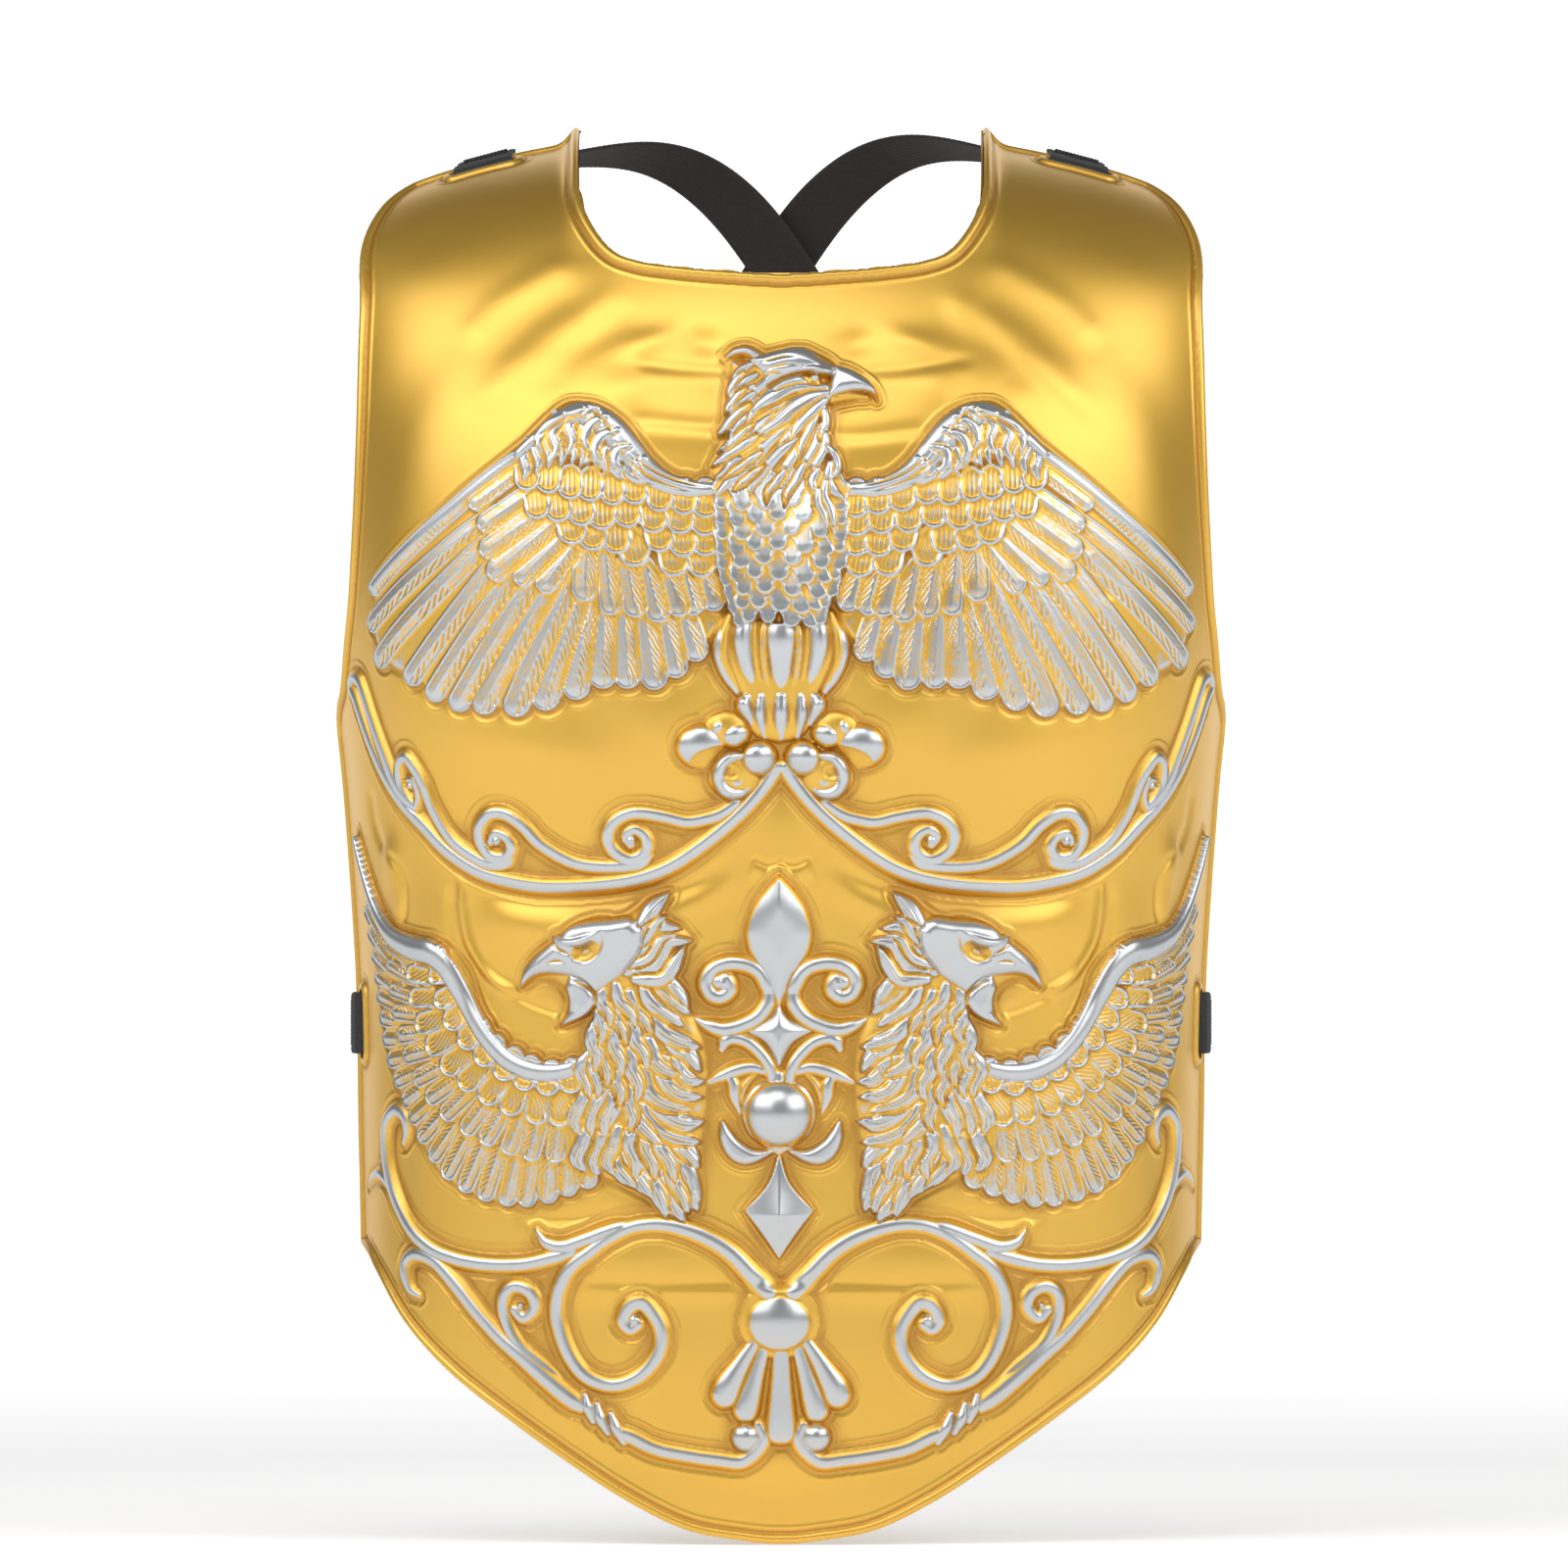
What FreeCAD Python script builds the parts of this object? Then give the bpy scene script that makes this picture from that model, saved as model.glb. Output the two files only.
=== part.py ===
import FreeCAD, Part

import math
import os

from FreeCAD import Vector

# A costume breastplate: one formed sheet that carries a raised eagle, two griffins and scrollwork, and two
# elastic straps that cross behind the wearer. The wearer faces -Y, +Z is up, and left and right are those
# of someone who looks at the front. The origin lies midway between the shoulder seats, level with the tops
# of the armholes. Every outline is a table of shares: the first number of a pair is a share of
# plate_half_width across from the centre line, and the second is a share of plate_drop down from the origin.

# Plate
plate_half_width = 181.0
plate_drop = 557.0
plate_depth = 124.0
sheet_thickness = 1.5
rim_width = 6.0
rim_height = 2.0
shoulder_reach = 8.0
overrun = 40.0

# Relief: how far each tier stands above the sheet, and the width of a drawn line
low_relief = 2.0
middle_relief = 3.2
high_relief = 4.6
boss_relief = 8.0
line_width = 4.4
shaft_width = 5.0
bone_width = 6.0

# Straps
strap_width = 25.0
strap_thickness = 1.6
strap_clearance = 0.3
strap_seat = 1.7
crossing_gap = 2.8
strap_tail = 30.0
slot_side_clearance = 1.0
slot_opening = 4.4
slot_inset = 12.0
shoulder_slot_place = 122.0
side_slot_drop = 346.0
tack_width = 3.0
tack_thickness = 0.8

# Stations of the sheet, from below the hem to behind the shoulders. Each holds its height as a share of
# plate_drop, its forward place as a share of plate_depth, its half width as a share of plate_half_width, its
# section's depth as a share of plate_depth, the section's tilt in degrees and how square the section is.
station_shares = [
    (-1.149, 0.597, 0.950, 0.645, 0, 2.40),
    (-1.005, 0.726, 0.950, 0.758, 0, 2.40),
    (-0.844, 0.855, 0.947, 0.871, 0, 2.45),
    (-0.691, 0.871, 0.947, 0.871, 0, 2.50),
    (-0.539, 0.903, 0.978, 0.919, 0, 2.60),
    (-0.377, 1.000, 1.014, 0.984, 0, 2.60),
    (-0.215, 0.952, 1.050, 0.935, 6, 2.50),
    (-0.081, 0.774, 1.083, 0.871, 28, 2.30),
    (-0.011, 0.532, 1.094, 0.742, 50, 2.20),
    (0.025, 0.258, 1.094, 0.565, 70, 2.00),
    (0.040, -0.032, 1.094, 0.484, 86, 2.00),
    (0.043, -0.371, 1.094, 0.484, 92, 2.00),
]
half_column_shares = [0.22, 0.48, 0.72, 0.90, 0.985, 1.0]
slope_step_share = 0.001
surface_degree = 3

# How finely curves are drawn
facet_rows = 26
facet_columns = 20
edge_steps = 2
feather_steps = 2
small_circle_steps = 8
circle_steps_at_full_width = 180
sharpest_mitre = 0.7
strap_steps = 1
shaft_reach_share = 0.84
# Rings of a round boss: each is so wide, and stands so high, as a share of the whole
dome_ring_shares = [(1.0, 0.45), (0.84, 0.75), (0.56, 1.0)]

# Free edges. The neck and the hem are seen from the front, left half. The side edge is seen from the side:
# the first number of a pair is a share of plate_depth forward of the origin.
neck_shares = [
    (-0.457, -0.049), (-0.453, -0.024), (-0.457, -0.001), (-0.442, 0.027), (-0.387, 0.053),
    (-0.323, 0.063), (-0.221, 0.068), (-0.115, 0.071), (0.000, 0.073),
]
hem_shares = [
    (-0.999, 0.763), (-0.933, 0.790), (-0.910, 0.804), (-0.844, 0.840), (-0.745, 0.876),
    (-0.612, 0.910), (-0.480, 0.941), (-0.347, 0.969), (-0.214, 0.990), (-0.082, 0.998), (0.000, 1.000),
]
side_edge_shares = [
    (-0.065, 0.004), (0.113, 0.032), (0.274, 0.072), (0.363, 0.110), (0.427, 0.172), (0.440, 0.237),
    (0.403, 0.302), (0.331, 0.343), (0.250, 0.372), (0.153, 0.386), (0.089, 0.402), (0.081, 0.431),
    (0.081, 0.539), (0.081, 0.664), (0.081, 0.808),
]

# Eagle. Runs are smooth stretches of an outline, joined at corners.
eagle_head_shares = [
    [(-0.122, 0.132), (-0.091, 0.129), (-0.038, 0.129), (0.033, 0.128), (0.080, 0.132), (0.124, 0.142)],
    [(0.124, 0.142), (0.152, 0.144), (0.188, 0.152), (0.214, 0.167)],
    [(0.214, 0.167), (0.197, 0.160), (0.139, 0.160), (0.086, 0.169)],
    [(0.086, 0.169), (0.091, 0.181), (0.108, 0.200), (0.130, 0.215), (0.141, 0.233)],
    [(0.141, 0.233), (0.122, 0.241), (0.091, 0.230)],
    [(0.091, 0.230), (0.064, 0.240), (0.033, 0.228)],
    [(0.033, 0.228), (0.002, 0.238), (-0.029, 0.228)],
    [(-0.029, 0.228), (-0.064, 0.237), (-0.099, 0.227)],
    [(-0.099, 0.227), (-0.126, 0.237), (-0.155, 0.236)],
    [(-0.155, 0.236), (-0.135, 0.225), (-0.157, 0.215)],
    [(-0.157, 0.215), (-0.141, 0.202), (-0.117, 0.187), (-0.126, 0.171)],
    [(-0.126, 0.171), (-0.119, 0.157), (-0.122, 0.132)],
]
eagle_body_shares = [
    [(-0.137, 0.231), (-0.137, 0.262), (-0.133, 0.289), (-0.113, 0.319)],
    [(-0.113, 0.319), (0.000, 0.315), (0.115, 0.319)],
    [(0.115, 0.319), (0.133, 0.294), (0.140, 0.262), (0.134, 0.238)],
    [(0.134, 0.238), (0.100, 0.228), (-0.137, 0.231)],
]
eagle_tail_shares = [
    [(-0.113, 0.319), (-0.135, 0.334), (-0.139, 0.350), (-0.117, 0.369), (-0.086, 0.383)],
    [
        (-0.086, 0.383), (-0.077, 0.396), (-0.046, 0.411), (0.000, 0.415), (0.046, 0.411),
        (0.077, 0.396), (0.088, 0.383),
    ],
    [(0.088, 0.383), (0.117, 0.369), (0.139, 0.350), (0.135, 0.334), (0.115, 0.319)],
    [(0.115, 0.319), (0.000, 0.315), (-0.113, 0.319)],
]
wing_lead_shares = [
    (-0.122, 0.230), (-0.214, 0.224), (-0.301, 0.213), (-0.356, 0.195), (-0.404, 0.177),
    (-0.457, 0.169), (-0.504, 0.177), (-0.568, 0.200), (-0.670, 0.232), (-0.778, 0.263),
    (-0.882, 0.293),
]
wing_valley_shares = [
    (-0.882, 0.293), (-0.886, 0.313), (-0.882, 0.338), (-0.851, 0.361), (-0.804, 0.373),
    (-0.754, 0.383), (-0.696, 0.386), (-0.632, 0.386), (-0.566, 0.386), (-0.495, 0.378),
    (-0.418, 0.371), (-0.362, 0.368), (-0.307, 0.368), (-0.250, 0.362), (-0.201, 0.356),
    (-0.161, 0.345),
]
wing_tip_shares = [
    (-0.915, 0.306), (-0.917, 0.326), (-0.895, 0.358), (-0.829, 0.373), (-0.780, 0.385),
    (-0.729, 0.391), (-0.667, 0.393), (-0.599, 0.395), (-0.537, 0.390), (-0.449, 0.382),
    (-0.387, 0.375), (-0.338, 0.376), (-0.276, 0.376), (-0.228, 0.367), (-0.172, 0.355),
]
wing_root_shares = [(-0.161, 0.345), (-0.130, 0.330), (-0.126, 0.273), (-0.122, 0.230)]
# Where the raised middle of each long outer feather starts: the feathers of the second tip and those after it
wing_shaft_shares = [
    (-0.701, 0.268), (-0.683, 0.285), (-0.665, 0.304), (-0.625, 0.311), (-0.579, 0.313),
    (-0.539, 0.317), (-0.497, 0.322), (-0.466, 0.326),
]
covert_lead_shares = [
    (-0.122, 0.236), (-0.214, 0.229), (-0.301, 0.218), (-0.360, 0.200), (-0.413, 0.181),
    (-0.457, 0.173), (-0.510, 0.182), (-0.590, 0.208), (-0.709, 0.240),
]
covert_valley_shares = [
    (-0.709, 0.240), (-0.663, 0.247), (-0.639, 0.265), (-0.625, 0.282), (-0.603, 0.292),
    (-0.548, 0.296), (-0.473, 0.302), (-0.387, 0.310), (-0.314, 0.315), (-0.250, 0.313),
    (-0.188, 0.309), (-0.130, 0.300),
]
covert_tip_shares = [
    (-0.696, 0.250), (-0.672, 0.263), (-0.659, 0.280), (-0.632, 0.297), (-0.577, 0.301),
    (-0.522, 0.307), (-0.427, 0.320), (-0.347, 0.323), (-0.283, 0.325), (-0.221, 0.322),
    (-0.155, 0.316),
]
covert_root_shares = [(-0.130, 0.300), (-0.126, 0.266), (-0.122, 0.236)]
rosette_lobe_shares = [
    (-0.182, 0.416, 0.046), (-0.132, 0.404, 0.034), (-0.099, 0.409, 0.029), (-0.088, 0.423, 0.035),
    (-0.108, 0.439, 0.044), (-0.046, 0.425, 0.038),
]

# Chest scroll: strokes along their centre lines
chest_scroll_shares = [
    [
        (-0.015, 0.442), (-0.051, 0.461), (-0.104, 0.480), (-0.172, 0.494), (-0.254, 0.506),
        (-0.338, 0.517), (-0.457, 0.521), (-0.577, 0.518), (-0.694, 0.505), (-0.773, 0.487),
        (-0.853, 0.461), (-0.910, 0.433), (-0.938, 0.405), (-0.955, 0.380),
    ],
    [
        (-0.955, 0.380), (-0.946, 0.366), (-0.926, 0.366), (-0.908, 0.381), (-0.887, 0.415),
        (-0.853, 0.445),
    ],
    [
        (-0.857, 0.438), (-0.844, 0.425), (-0.813, 0.429), (-0.780, 0.446), (-0.749, 0.471),
        (-0.694, 0.495), (-0.621, 0.507),
    ],
    [
        (-0.621, 0.507), (-0.670, 0.490), (-0.672, 0.473), (-0.632, 0.465), (-0.583, 0.474),
        (-0.537, 0.492), (-0.473, 0.505), (-0.393, 0.508), (-0.320, 0.507),
    ],
    [
        (-0.320, 0.507), (-0.378, 0.493), (-0.387, 0.475), (-0.347, 0.466), (-0.283, 0.466),
        (-0.221, 0.473), (-0.157, 0.469), (-0.099, 0.458), (-0.069, 0.445),
    ],
]
chest_curl_shares = [(-0.835, 0.445, 0.020), (-0.643, 0.485, 0.020), (-0.350, 0.489, 0.020)]

# Griffin
griffin_head_shares = [
    [(-0.575, 0.600), (-0.581, 0.591), (-0.552, 0.572), (-0.497, 0.557)],
    [
        (-0.497, 0.557), (-0.457, 0.546), (-0.382, 0.539), (-0.325, 0.534), (-0.294, 0.529),
        (-0.263, 0.524),
    ],
    [
        (-0.263, 0.524), (-0.276, 0.533), (-0.276, 0.539), (-0.241, 0.544), (-0.223, 0.550),
        (-0.199, 0.559), (-0.217, 0.567), (-0.239, 0.576), (-0.250, 0.591),
    ],
    [(-0.250, 0.591), (-0.314, 0.596), (-0.365, 0.595), (-0.418, 0.608)],
    [(-0.418, 0.608), (-0.453, 0.618), (-0.497, 0.622)],
    [
        (-0.497, 0.622), (-0.482, 0.612), (-0.480, 0.599), (-0.499, 0.591), (-0.528, 0.587),
        (-0.557, 0.590), (-0.575, 0.600),
    ],
]
griffin_mane_shares = [
    [(-0.418, 0.608), (-0.411, 0.618), (-0.427, 0.636), (-0.449, 0.644)],
    [(-0.449, 0.644), (-0.427, 0.661), (-0.431, 0.686), (-0.440, 0.711), (-0.422, 0.734)],
    [(-0.422, 0.734), (-0.373, 0.741), (-0.325, 0.750), (-0.281, 0.763)],
    [(-0.281, 0.763), (-0.236, 0.761), (-0.188, 0.755)],
    [
        (-0.188, 0.755), (-0.179, 0.743), (-0.188, 0.725), (-0.175, 0.706), (-0.179, 0.690),
        (-0.166, 0.664), (-0.170, 0.646), (-0.194, 0.614), (-0.221, 0.597), (-0.250, 0.591),
    ],
    [(-0.250, 0.591), (-0.314, 0.596), (-0.365, 0.595), (-0.418, 0.608)],
]
griffin_wing_lead_shares = [
    (-0.968, 0.483), (-0.946, 0.501), (-0.917, 0.529), (-0.895, 0.548), (-0.869, 0.558),
    (-0.833, 0.564), (-0.798, 0.559), (-0.769, 0.559), (-0.740, 0.567), (-0.714, 0.584),
    (-0.687, 0.605), (-0.659, 0.623), (-0.617, 0.638), (-0.566, 0.647), (-0.502, 0.648),
    (-0.449, 0.644),
]
griffin_wing_root_shares = [
    (-0.449, 0.644), (-0.427, 0.661), (-0.431, 0.686), (-0.440, 0.711), (-0.422, 0.732),
]
griffin_wing_valley_shares = [
    (-0.422, 0.732), (-0.471, 0.738), (-0.522, 0.743), (-0.570, 0.745), (-0.632, 0.744),
    (-0.683, 0.738), (-0.727, 0.730), (-0.798, 0.712),
]
griffin_wing_tip_shares = [
    (-0.442, 0.743), (-0.497, 0.750), (-0.544, 0.753), (-0.599, 0.755), (-0.659, 0.751),
    (-0.703, 0.743), (-0.760, 0.730),
]
griffin_wing_back_shares = [
    (-0.798, 0.712), (-0.842, 0.688), (-0.864, 0.666), (-0.884, 0.632), (-0.897, 0.611),
    (-0.904, 0.584), (-0.910, 0.557), (-0.930, 0.529), (-0.952, 0.508), (-0.968, 0.483),
]
griffin_covert_lead_shares = [
    (-0.913, 0.539), (-0.895, 0.553), (-0.869, 0.563), (-0.833, 0.569), (-0.798, 0.564),
    (-0.769, 0.564), (-0.749, 0.572), (-0.723, 0.587), (-0.696, 0.609), (-0.665, 0.628),
    (-0.621, 0.643), (-0.566, 0.652), (-0.502, 0.654), (-0.435, 0.654),
]
griffin_covert_root_shares = [(-0.435, 0.654), (-0.422, 0.668), (-0.427, 0.697)]
griffin_covert_valley_shares = [
    (-0.427, 0.697), (-0.497, 0.707), (-0.568, 0.712), (-0.639, 0.714), (-0.709, 0.708),
    (-0.771, 0.697), (-0.824, 0.681), (-0.866, 0.661),
]
griffin_covert_tip_shares = [
    (-0.457, 0.710), (-0.533, 0.717), (-0.603, 0.721), (-0.678, 0.718), (-0.749, 0.710),
    (-0.809, 0.697), (-0.860, 0.678),
]
griffin_covert_back_shares = [
    (-0.866, 0.661), (-0.877, 0.632), (-0.891, 0.611), (-0.897, 0.584), (-0.904, 0.557),
    (-0.913, 0.539),
]
# The wing's bone, along the front of its coverts
griffin_bone_shares = [
    (-0.824, 0.577), (-0.773, 0.583), (-0.731, 0.606), (-0.678, 0.635), (-0.599, 0.655),
    (-0.462, 0.661),
]

# Centre column
fleur_petal_shares = [
    [(0.000, 0.512), (-0.049, 0.533), (-0.071, 0.554), (-0.057, 0.573), (-0.015, 0.595)],
    [(-0.015, 0.595), (-0.009, 0.605), (0.000, 0.610)],
]
fleur_scroll_shares = [
    [
        (-0.018, 0.597), (-0.033, 0.585), (-0.064, 0.578), (-0.099, 0.575), (-0.137, 0.577),
        (-0.164, 0.586), (-0.157, 0.595),
    ],
    [
        (-0.018, 0.597), (-0.031, 0.606), (-0.069, 0.618), (-0.117, 0.623), (-0.166, 0.620),
        (-0.199, 0.615),
    ],
]
fleur_curl_shares = [(-0.135, 0.592, 0.029)]
star_shares = [
    [(0.000, 0.606), (-0.024, 0.619), (-0.082, 0.627)],
    [(-0.082, 0.627), (-0.029, 0.635), (0.000, 0.651)],
]
star_arm_shares = [
    [(-0.015, 0.651), (-0.046, 0.636), (-0.086, 0.633), (-0.126, 0.637)],
    [(-0.015, 0.656), (-0.060, 0.656), (-0.108, 0.661), (-0.166, 0.666)],
    [(-0.082, 0.658), (-0.108, 0.669), (-0.113, 0.684)],
]
crescent_shares = [
    [(-0.130, 0.694), (-0.108, 0.707), (-0.069, 0.711), (-0.011, 0.710)],
    [(-0.011, 0.710), (-0.033, 0.717), (-0.082, 0.722), (-0.122, 0.715), (-0.130, 0.694)],
]
kite_shares = [
    [(0.000, 0.712), (-0.033, 0.735), (-0.082, 0.755)],
    [(-0.082, 0.755), (-0.038, 0.772), (0.000, 0.793)],
]

# Belly and hem
belly_scroll_shares = [
    [
        (-0.020, 0.817), (-0.064, 0.801), (-0.117, 0.786), (-0.199, 0.773), (-0.301, 0.768),
        (-0.400, 0.773), (-0.466, 0.791), (-0.502, 0.814), (-0.504, 0.839), (-0.477, 0.862),
        (-0.429, 0.877), (-0.369, 0.883), (-0.312, 0.876), (-0.276, 0.860), (-0.274, 0.840),
        (-0.301, 0.825), (-0.334, 0.822), (-0.354, 0.831), (-0.345, 0.840),
    ],
]
belly_curl_shares = [(-0.329, 0.840, 0.020)]
side_branch_shares = [
    [
        (-0.502, 0.793), (-0.614, 0.797), (-0.734, 0.791), (-0.813, 0.778), (-0.860, 0.755),
        (-0.884, 0.730), (-0.893, 0.699), (-0.873, 0.685), (-0.844, 0.691),
    ],
    [(-0.509, 0.793), (-0.520, 0.780), (-0.555, 0.774)],
]
hem_scroll_shares = [
    [
        (-0.820, 0.821), (-0.844, 0.807), (-0.840, 0.794), (-0.804, 0.789), (-0.758, 0.796),
        (-0.694, 0.819), (-0.632, 0.845), (-0.568, 0.867), (-0.502, 0.887), (-0.424, 0.905),
        (-0.347, 0.921), (-0.261, 0.933), (-0.181, 0.939), (-0.114, 0.936), (-0.088, 0.927),
    ],
    [
        (-0.522, 0.884), (-0.583, 0.855), (-0.617, 0.837), (-0.612, 0.819), (-0.577, 0.814),
        (-0.550, 0.825), (-0.568, 0.837),
    ],
]
hem_curl_shares = [(-0.077, 0.921, 0.029)]
palmette_petal_shares = [
    [(0.000, 0.847), (-0.049, 0.869), (-0.117, 0.889)],
    [(0.000, 0.847), (-0.029, 0.876), (-0.064, 0.903)],
    [(0.000, 0.847), (0.000, 0.922)],
]
palmette_petal_width_share = 0.062
palmette_ball_share = (0.000, 0.837, 0.069)
ball_share = (0.000, 0.683, 0.073)

# Straps: the route of the one from the left shoulder to the right side, behind the wearer. Each stop holds
# shares across, back and down, how far it moves out to pass over the other strap, and the way its face looks.
strap_route_shares = [
    (-0.619, 0.323, -0.016, 0, -0.24, 0.05, 0.97),
    (-0.530, 0.427, -0.016, 0.2, -0.26, 0.12, 0.96),
    (-0.409, 0.532, -0.023, 0.6, -0.24, 0.25, 0.94),
    (-0.254, 0.661, -0.023, 1, -0.10, 0.55, 0.83),
    (-0.088, 0.790, 0.014, 1, 0.0, 0.86, 0.5),
    (0.066, 0.879, 0.093, 1, 0.0, 0.98, 0.2),
    (0.243, 0.927, 0.194, 1, 0.08, 0.99, 0.05),
    (0.442, 0.887, 0.302, 1, 0.3, 0.95, 0),
    (0.630, 0.766, 0.399, 1, 0.5, 0.86, 0),
    (0.790, 0.565, 0.488, 0.6, 0.7, 0.7, 0),
    (0.901, 0.355, 0.560, 0.2, 0.9, 0.42, 0),
    (0.945, 0.210, 0.603, 0, 0.99, 0.1, 0),
]
tail_bend_share = 0.4
turn_share = 0.28


# Points and outlines

def place(share, side=1):
    across, down = share[:2]
    return Vector(side * across * plate_half_width, -plate_depth - overrun, -down * plate_drop)


def places(shares, side=1):
    return [place(share, side) for share in shares]


def traced(points, steps):
    # A smooth curve through the points, as straight pieces, so many to each stretch
    curve = Part.BSplineCurve()
    curve.interpolate(points)
    knots = curve.getKnots()
    stops = [knots[0]]
    for start, end in zip(knots, knots[1:]):
        stops += [start + (end - start) * step / steps for step in range(1, steps + 1)]
    return [curve.value(stop) for stop in stops]


def closed_face(points):
    return Part.Face(Part.makePolygon(points + points[:1]))


def runs_face(runs, side=1):
    # Each run starts where the one before it ended
    return closed_face([point for run in runs for point in places(run, side)[:-1]])


def mirrored_face(runs):
    half = [share for run in runs for share in run[:-1]] + [runs[-1][-1]]
    return closed_face(places(half) + places(half, -1)[-2:0:-1])


def scallops(valleys, tips):
    # The round ends of a row of feathers, without the last valley
    points = []
    for start, tip, end in zip(valleys, tips, valleys[1:]):
        arc = Part.Arc(start, tip, end)
        points += arc.discretize(Number=feather_steps + 1)[:-1]
    return points


def circle_face(share, side=1):
    circle = Part.Circle(place(share, side), Vector(0, 1, 0), share[2] * plate_half_width)
    steps = max(small_circle_steps, round(share[2] * circle_steps_at_full_width))
    return closed_face(circle.toShape().discretize(Number=steps + 1)[:-1])


def direction(start, end):
    way = end - start
    way.normalize()
    return way


def stroke_face(points, width, normal):
    # A drawn line of constant width with pointed-round ends
    legs = [direction(one, other) for one, other in zip(points, points[1:])]
    left, right = [], []
    for point, before, after in zip(points, legs[:1] + legs, legs + legs[-1:]):
        along = direction(Vector(0, 0, 0), before + after)
        out = along.cross(normal) * (width / 2 / max(along.dot(after), sharpest_mitre))
        left.append(point + out)
        right.append(point - out)
    head = points[-1] + legs[-1] * (width / 2)
    foot = points[0] - legs[0] * (width / 2)
    return closed_face(left + [head] + right[::-1] + [foot])


# The formed sheet: a net of poles, its faces and the tiers between them

def section_depth(across_share, squareness):
    flank = max(0.0, 1 - abs(across_share) ** squareness)
    return 1 - flank ** (1 / squareness)


def sheet_pole(station, across_share, offset):
    height, forward, width, section, tilt, squareness = station
    half_width = width * plate_half_width
    depth = section * plate_depth
    start = max(-1, across_share - slope_step_share)
    end = min(1, across_share + slope_step_share)
    run = (end - start) * half_width
    rise = (section_depth(end, squareness) - section_depth(start, squareness)) * depth
    length = math.hypot(run, rise)
    across = across_share * half_width + offset * rise / length
    inward = section_depth(across_share, squareness) * depth - offset * run / length
    angle = math.radians(tilt)
    return Vector(
        across,
        -forward * plate_depth + inward * math.cos(angle),
        height * plate_drop - inward * math.sin(angle),
    )


def sheet_surface(offset):
    columns = [-share for share in reversed(half_column_shares)] + [0] + half_column_shares
    net = [[sheet_pole(station, share, offset) for share in columns] for station in station_shares]
    return pole_surface(net, surface_degree, surface_degree)


def pole_surface(net, row_degree, column_degree):
    knots, counts = [], []
    for poles, degree in ((len(net), row_degree), (len(net[0]), column_degree)):
        spans = poles - degree
        knots.append([span / spans for span in range(spans + 1)])
        counts.append([degree + 1] + [1] * (spans - 1) + [degree + 1])
    surface = Part.BSplineSurface()
    surface.buildFromPolesMultsKnots(
        net, counts[0], counts[1], knots[0], knots[1], False, False, row_degree, column_degree
    )
    return surface


grids = {}


def sheet_grid(offset):
    # Points of the sheet's skin, so far out from it, where its facets meet
    if offset not in grids:
        surface = sheet_surface(offset)
        grids[offset] = [
            [surface.value(row / facet_rows, column / facet_columns) for column in range(facet_columns + 1)]
            for row in range(facet_rows + 1)
        ]
    return grids[offset]


def triangle(one, two, three):
    return Part.Face(Part.makePolygon([one, two, three, one]))


def facets(grid, fold):
    # Two flat facets to each cell, folded alike on both sides of the centre line
    faces = []
    for row, (near, far) in enumerate(zip(grid, grid[1:])):
        for column in range(len(near) - 1):
            one, two, three, four = near[column], near[column + 1], far[column + 1], far[column]
            if column < fold:
                faces += [triangle(one, two, three), triangle(one, three, four)]
            else:
                faces += [triangle(one, two, four), triangle(two, three, four)]
    return faces


def border(grid):
    right = [row[-1] for row in grid]
    left = [row[0] for row in grid]
    return grid[0] + right[1:] + grid[-1][-2::-1] + left[-2::-1]


def solid_between(lower, upper, fold=0):
    # The closed solid between two like grids of points
    faces = facets(lower, fold) + facets(upper, fold)
    low_rim, high_rim = border(lower), border(upper)
    for start in range(len(low_rim) - 1):
        one, two = low_rim[start : start + 2]
        three, four = high_rim[start : start + 2]
        faces += [triangle(one, two, four), triangle(one, four, three)]
    shell = Part.makeShell(faces)
    shell.sewShape()
    solid = Part.makeSolid(shell)
    if solid.Volume < 0:
        solid.reverse()
    return solid


def tier(low, high, box=None):
    # The layer between two heights above the skin, whole or only near a box that holds what is cut from it
    lower, upper = sheet_grid(low), sheet_grid(high)
    rows, columns = (0, facet_rows), (0, facet_columns)
    if box:
        rows, columns = cells_near(upper, box)
    span = slice(columns[0], columns[1] + 1)
    lower, upper = [[row[span] for row in grid[rows[0] : rows[1] + 1]] for grid in (lower, upper)]
    return solid_between(lower, upper, facet_columns // 2 - columns[0])


def cells_near(grid, box):
    rows, columns = [], []
    for row in range(facet_rows):
        for column in range(facet_columns):
            corners = grid[row][column : column + 2] + grid[row + 1][column : column + 2]
            across = [corner.x for corner in corners]
            height = [corner.z for corner in corners]
            beside = max(across) < box.XMin - rim_width or min(across) > box.XMax + rim_width
            above = max(height) < box.ZMin - rim_width or min(height) > box.ZMax + rim_width
            if not (beside or above):
                rows.append(row)
                columns.append(column)
    return (min(rows), max(rows) + 1), (min(columns), max(columns) + 1)


def joined(faces):
    if len(faces) == 1:
        return faces
    return faces[0].multiFuse(faces[1:]).removeSplitter().Faces


def through(faces):
    # Outlines drawn in front of the plate, carried through it and past its back as one shape
    prisms = [face.extrude(Vector(0, 2 * plate_depth + overrun, 0)) for face in faces]
    return prisms[0] if len(prisms) == 1 else prisms[0].multiFuse(prisms[1:])


def raised(faces, low, high):
    prisms = through(faces)
    return tier(low, high, prisms.BoundBox).common(prisms).removeSplitter()


# The plate

def side_places(shares):
    across = -plate_half_width - overrun
    return [Vector(across, -forward * plate_depth, -down * plate_drop) for forward, down in shares]


def neck_points():
    return traced(places(neck_shares) + places(neck_shares, -1)[-2::-1], edge_steps)


def hem_points():
    return traced(places(hem_shares) + places(hem_shares, -1)[-2::-1], edge_steps)


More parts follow.
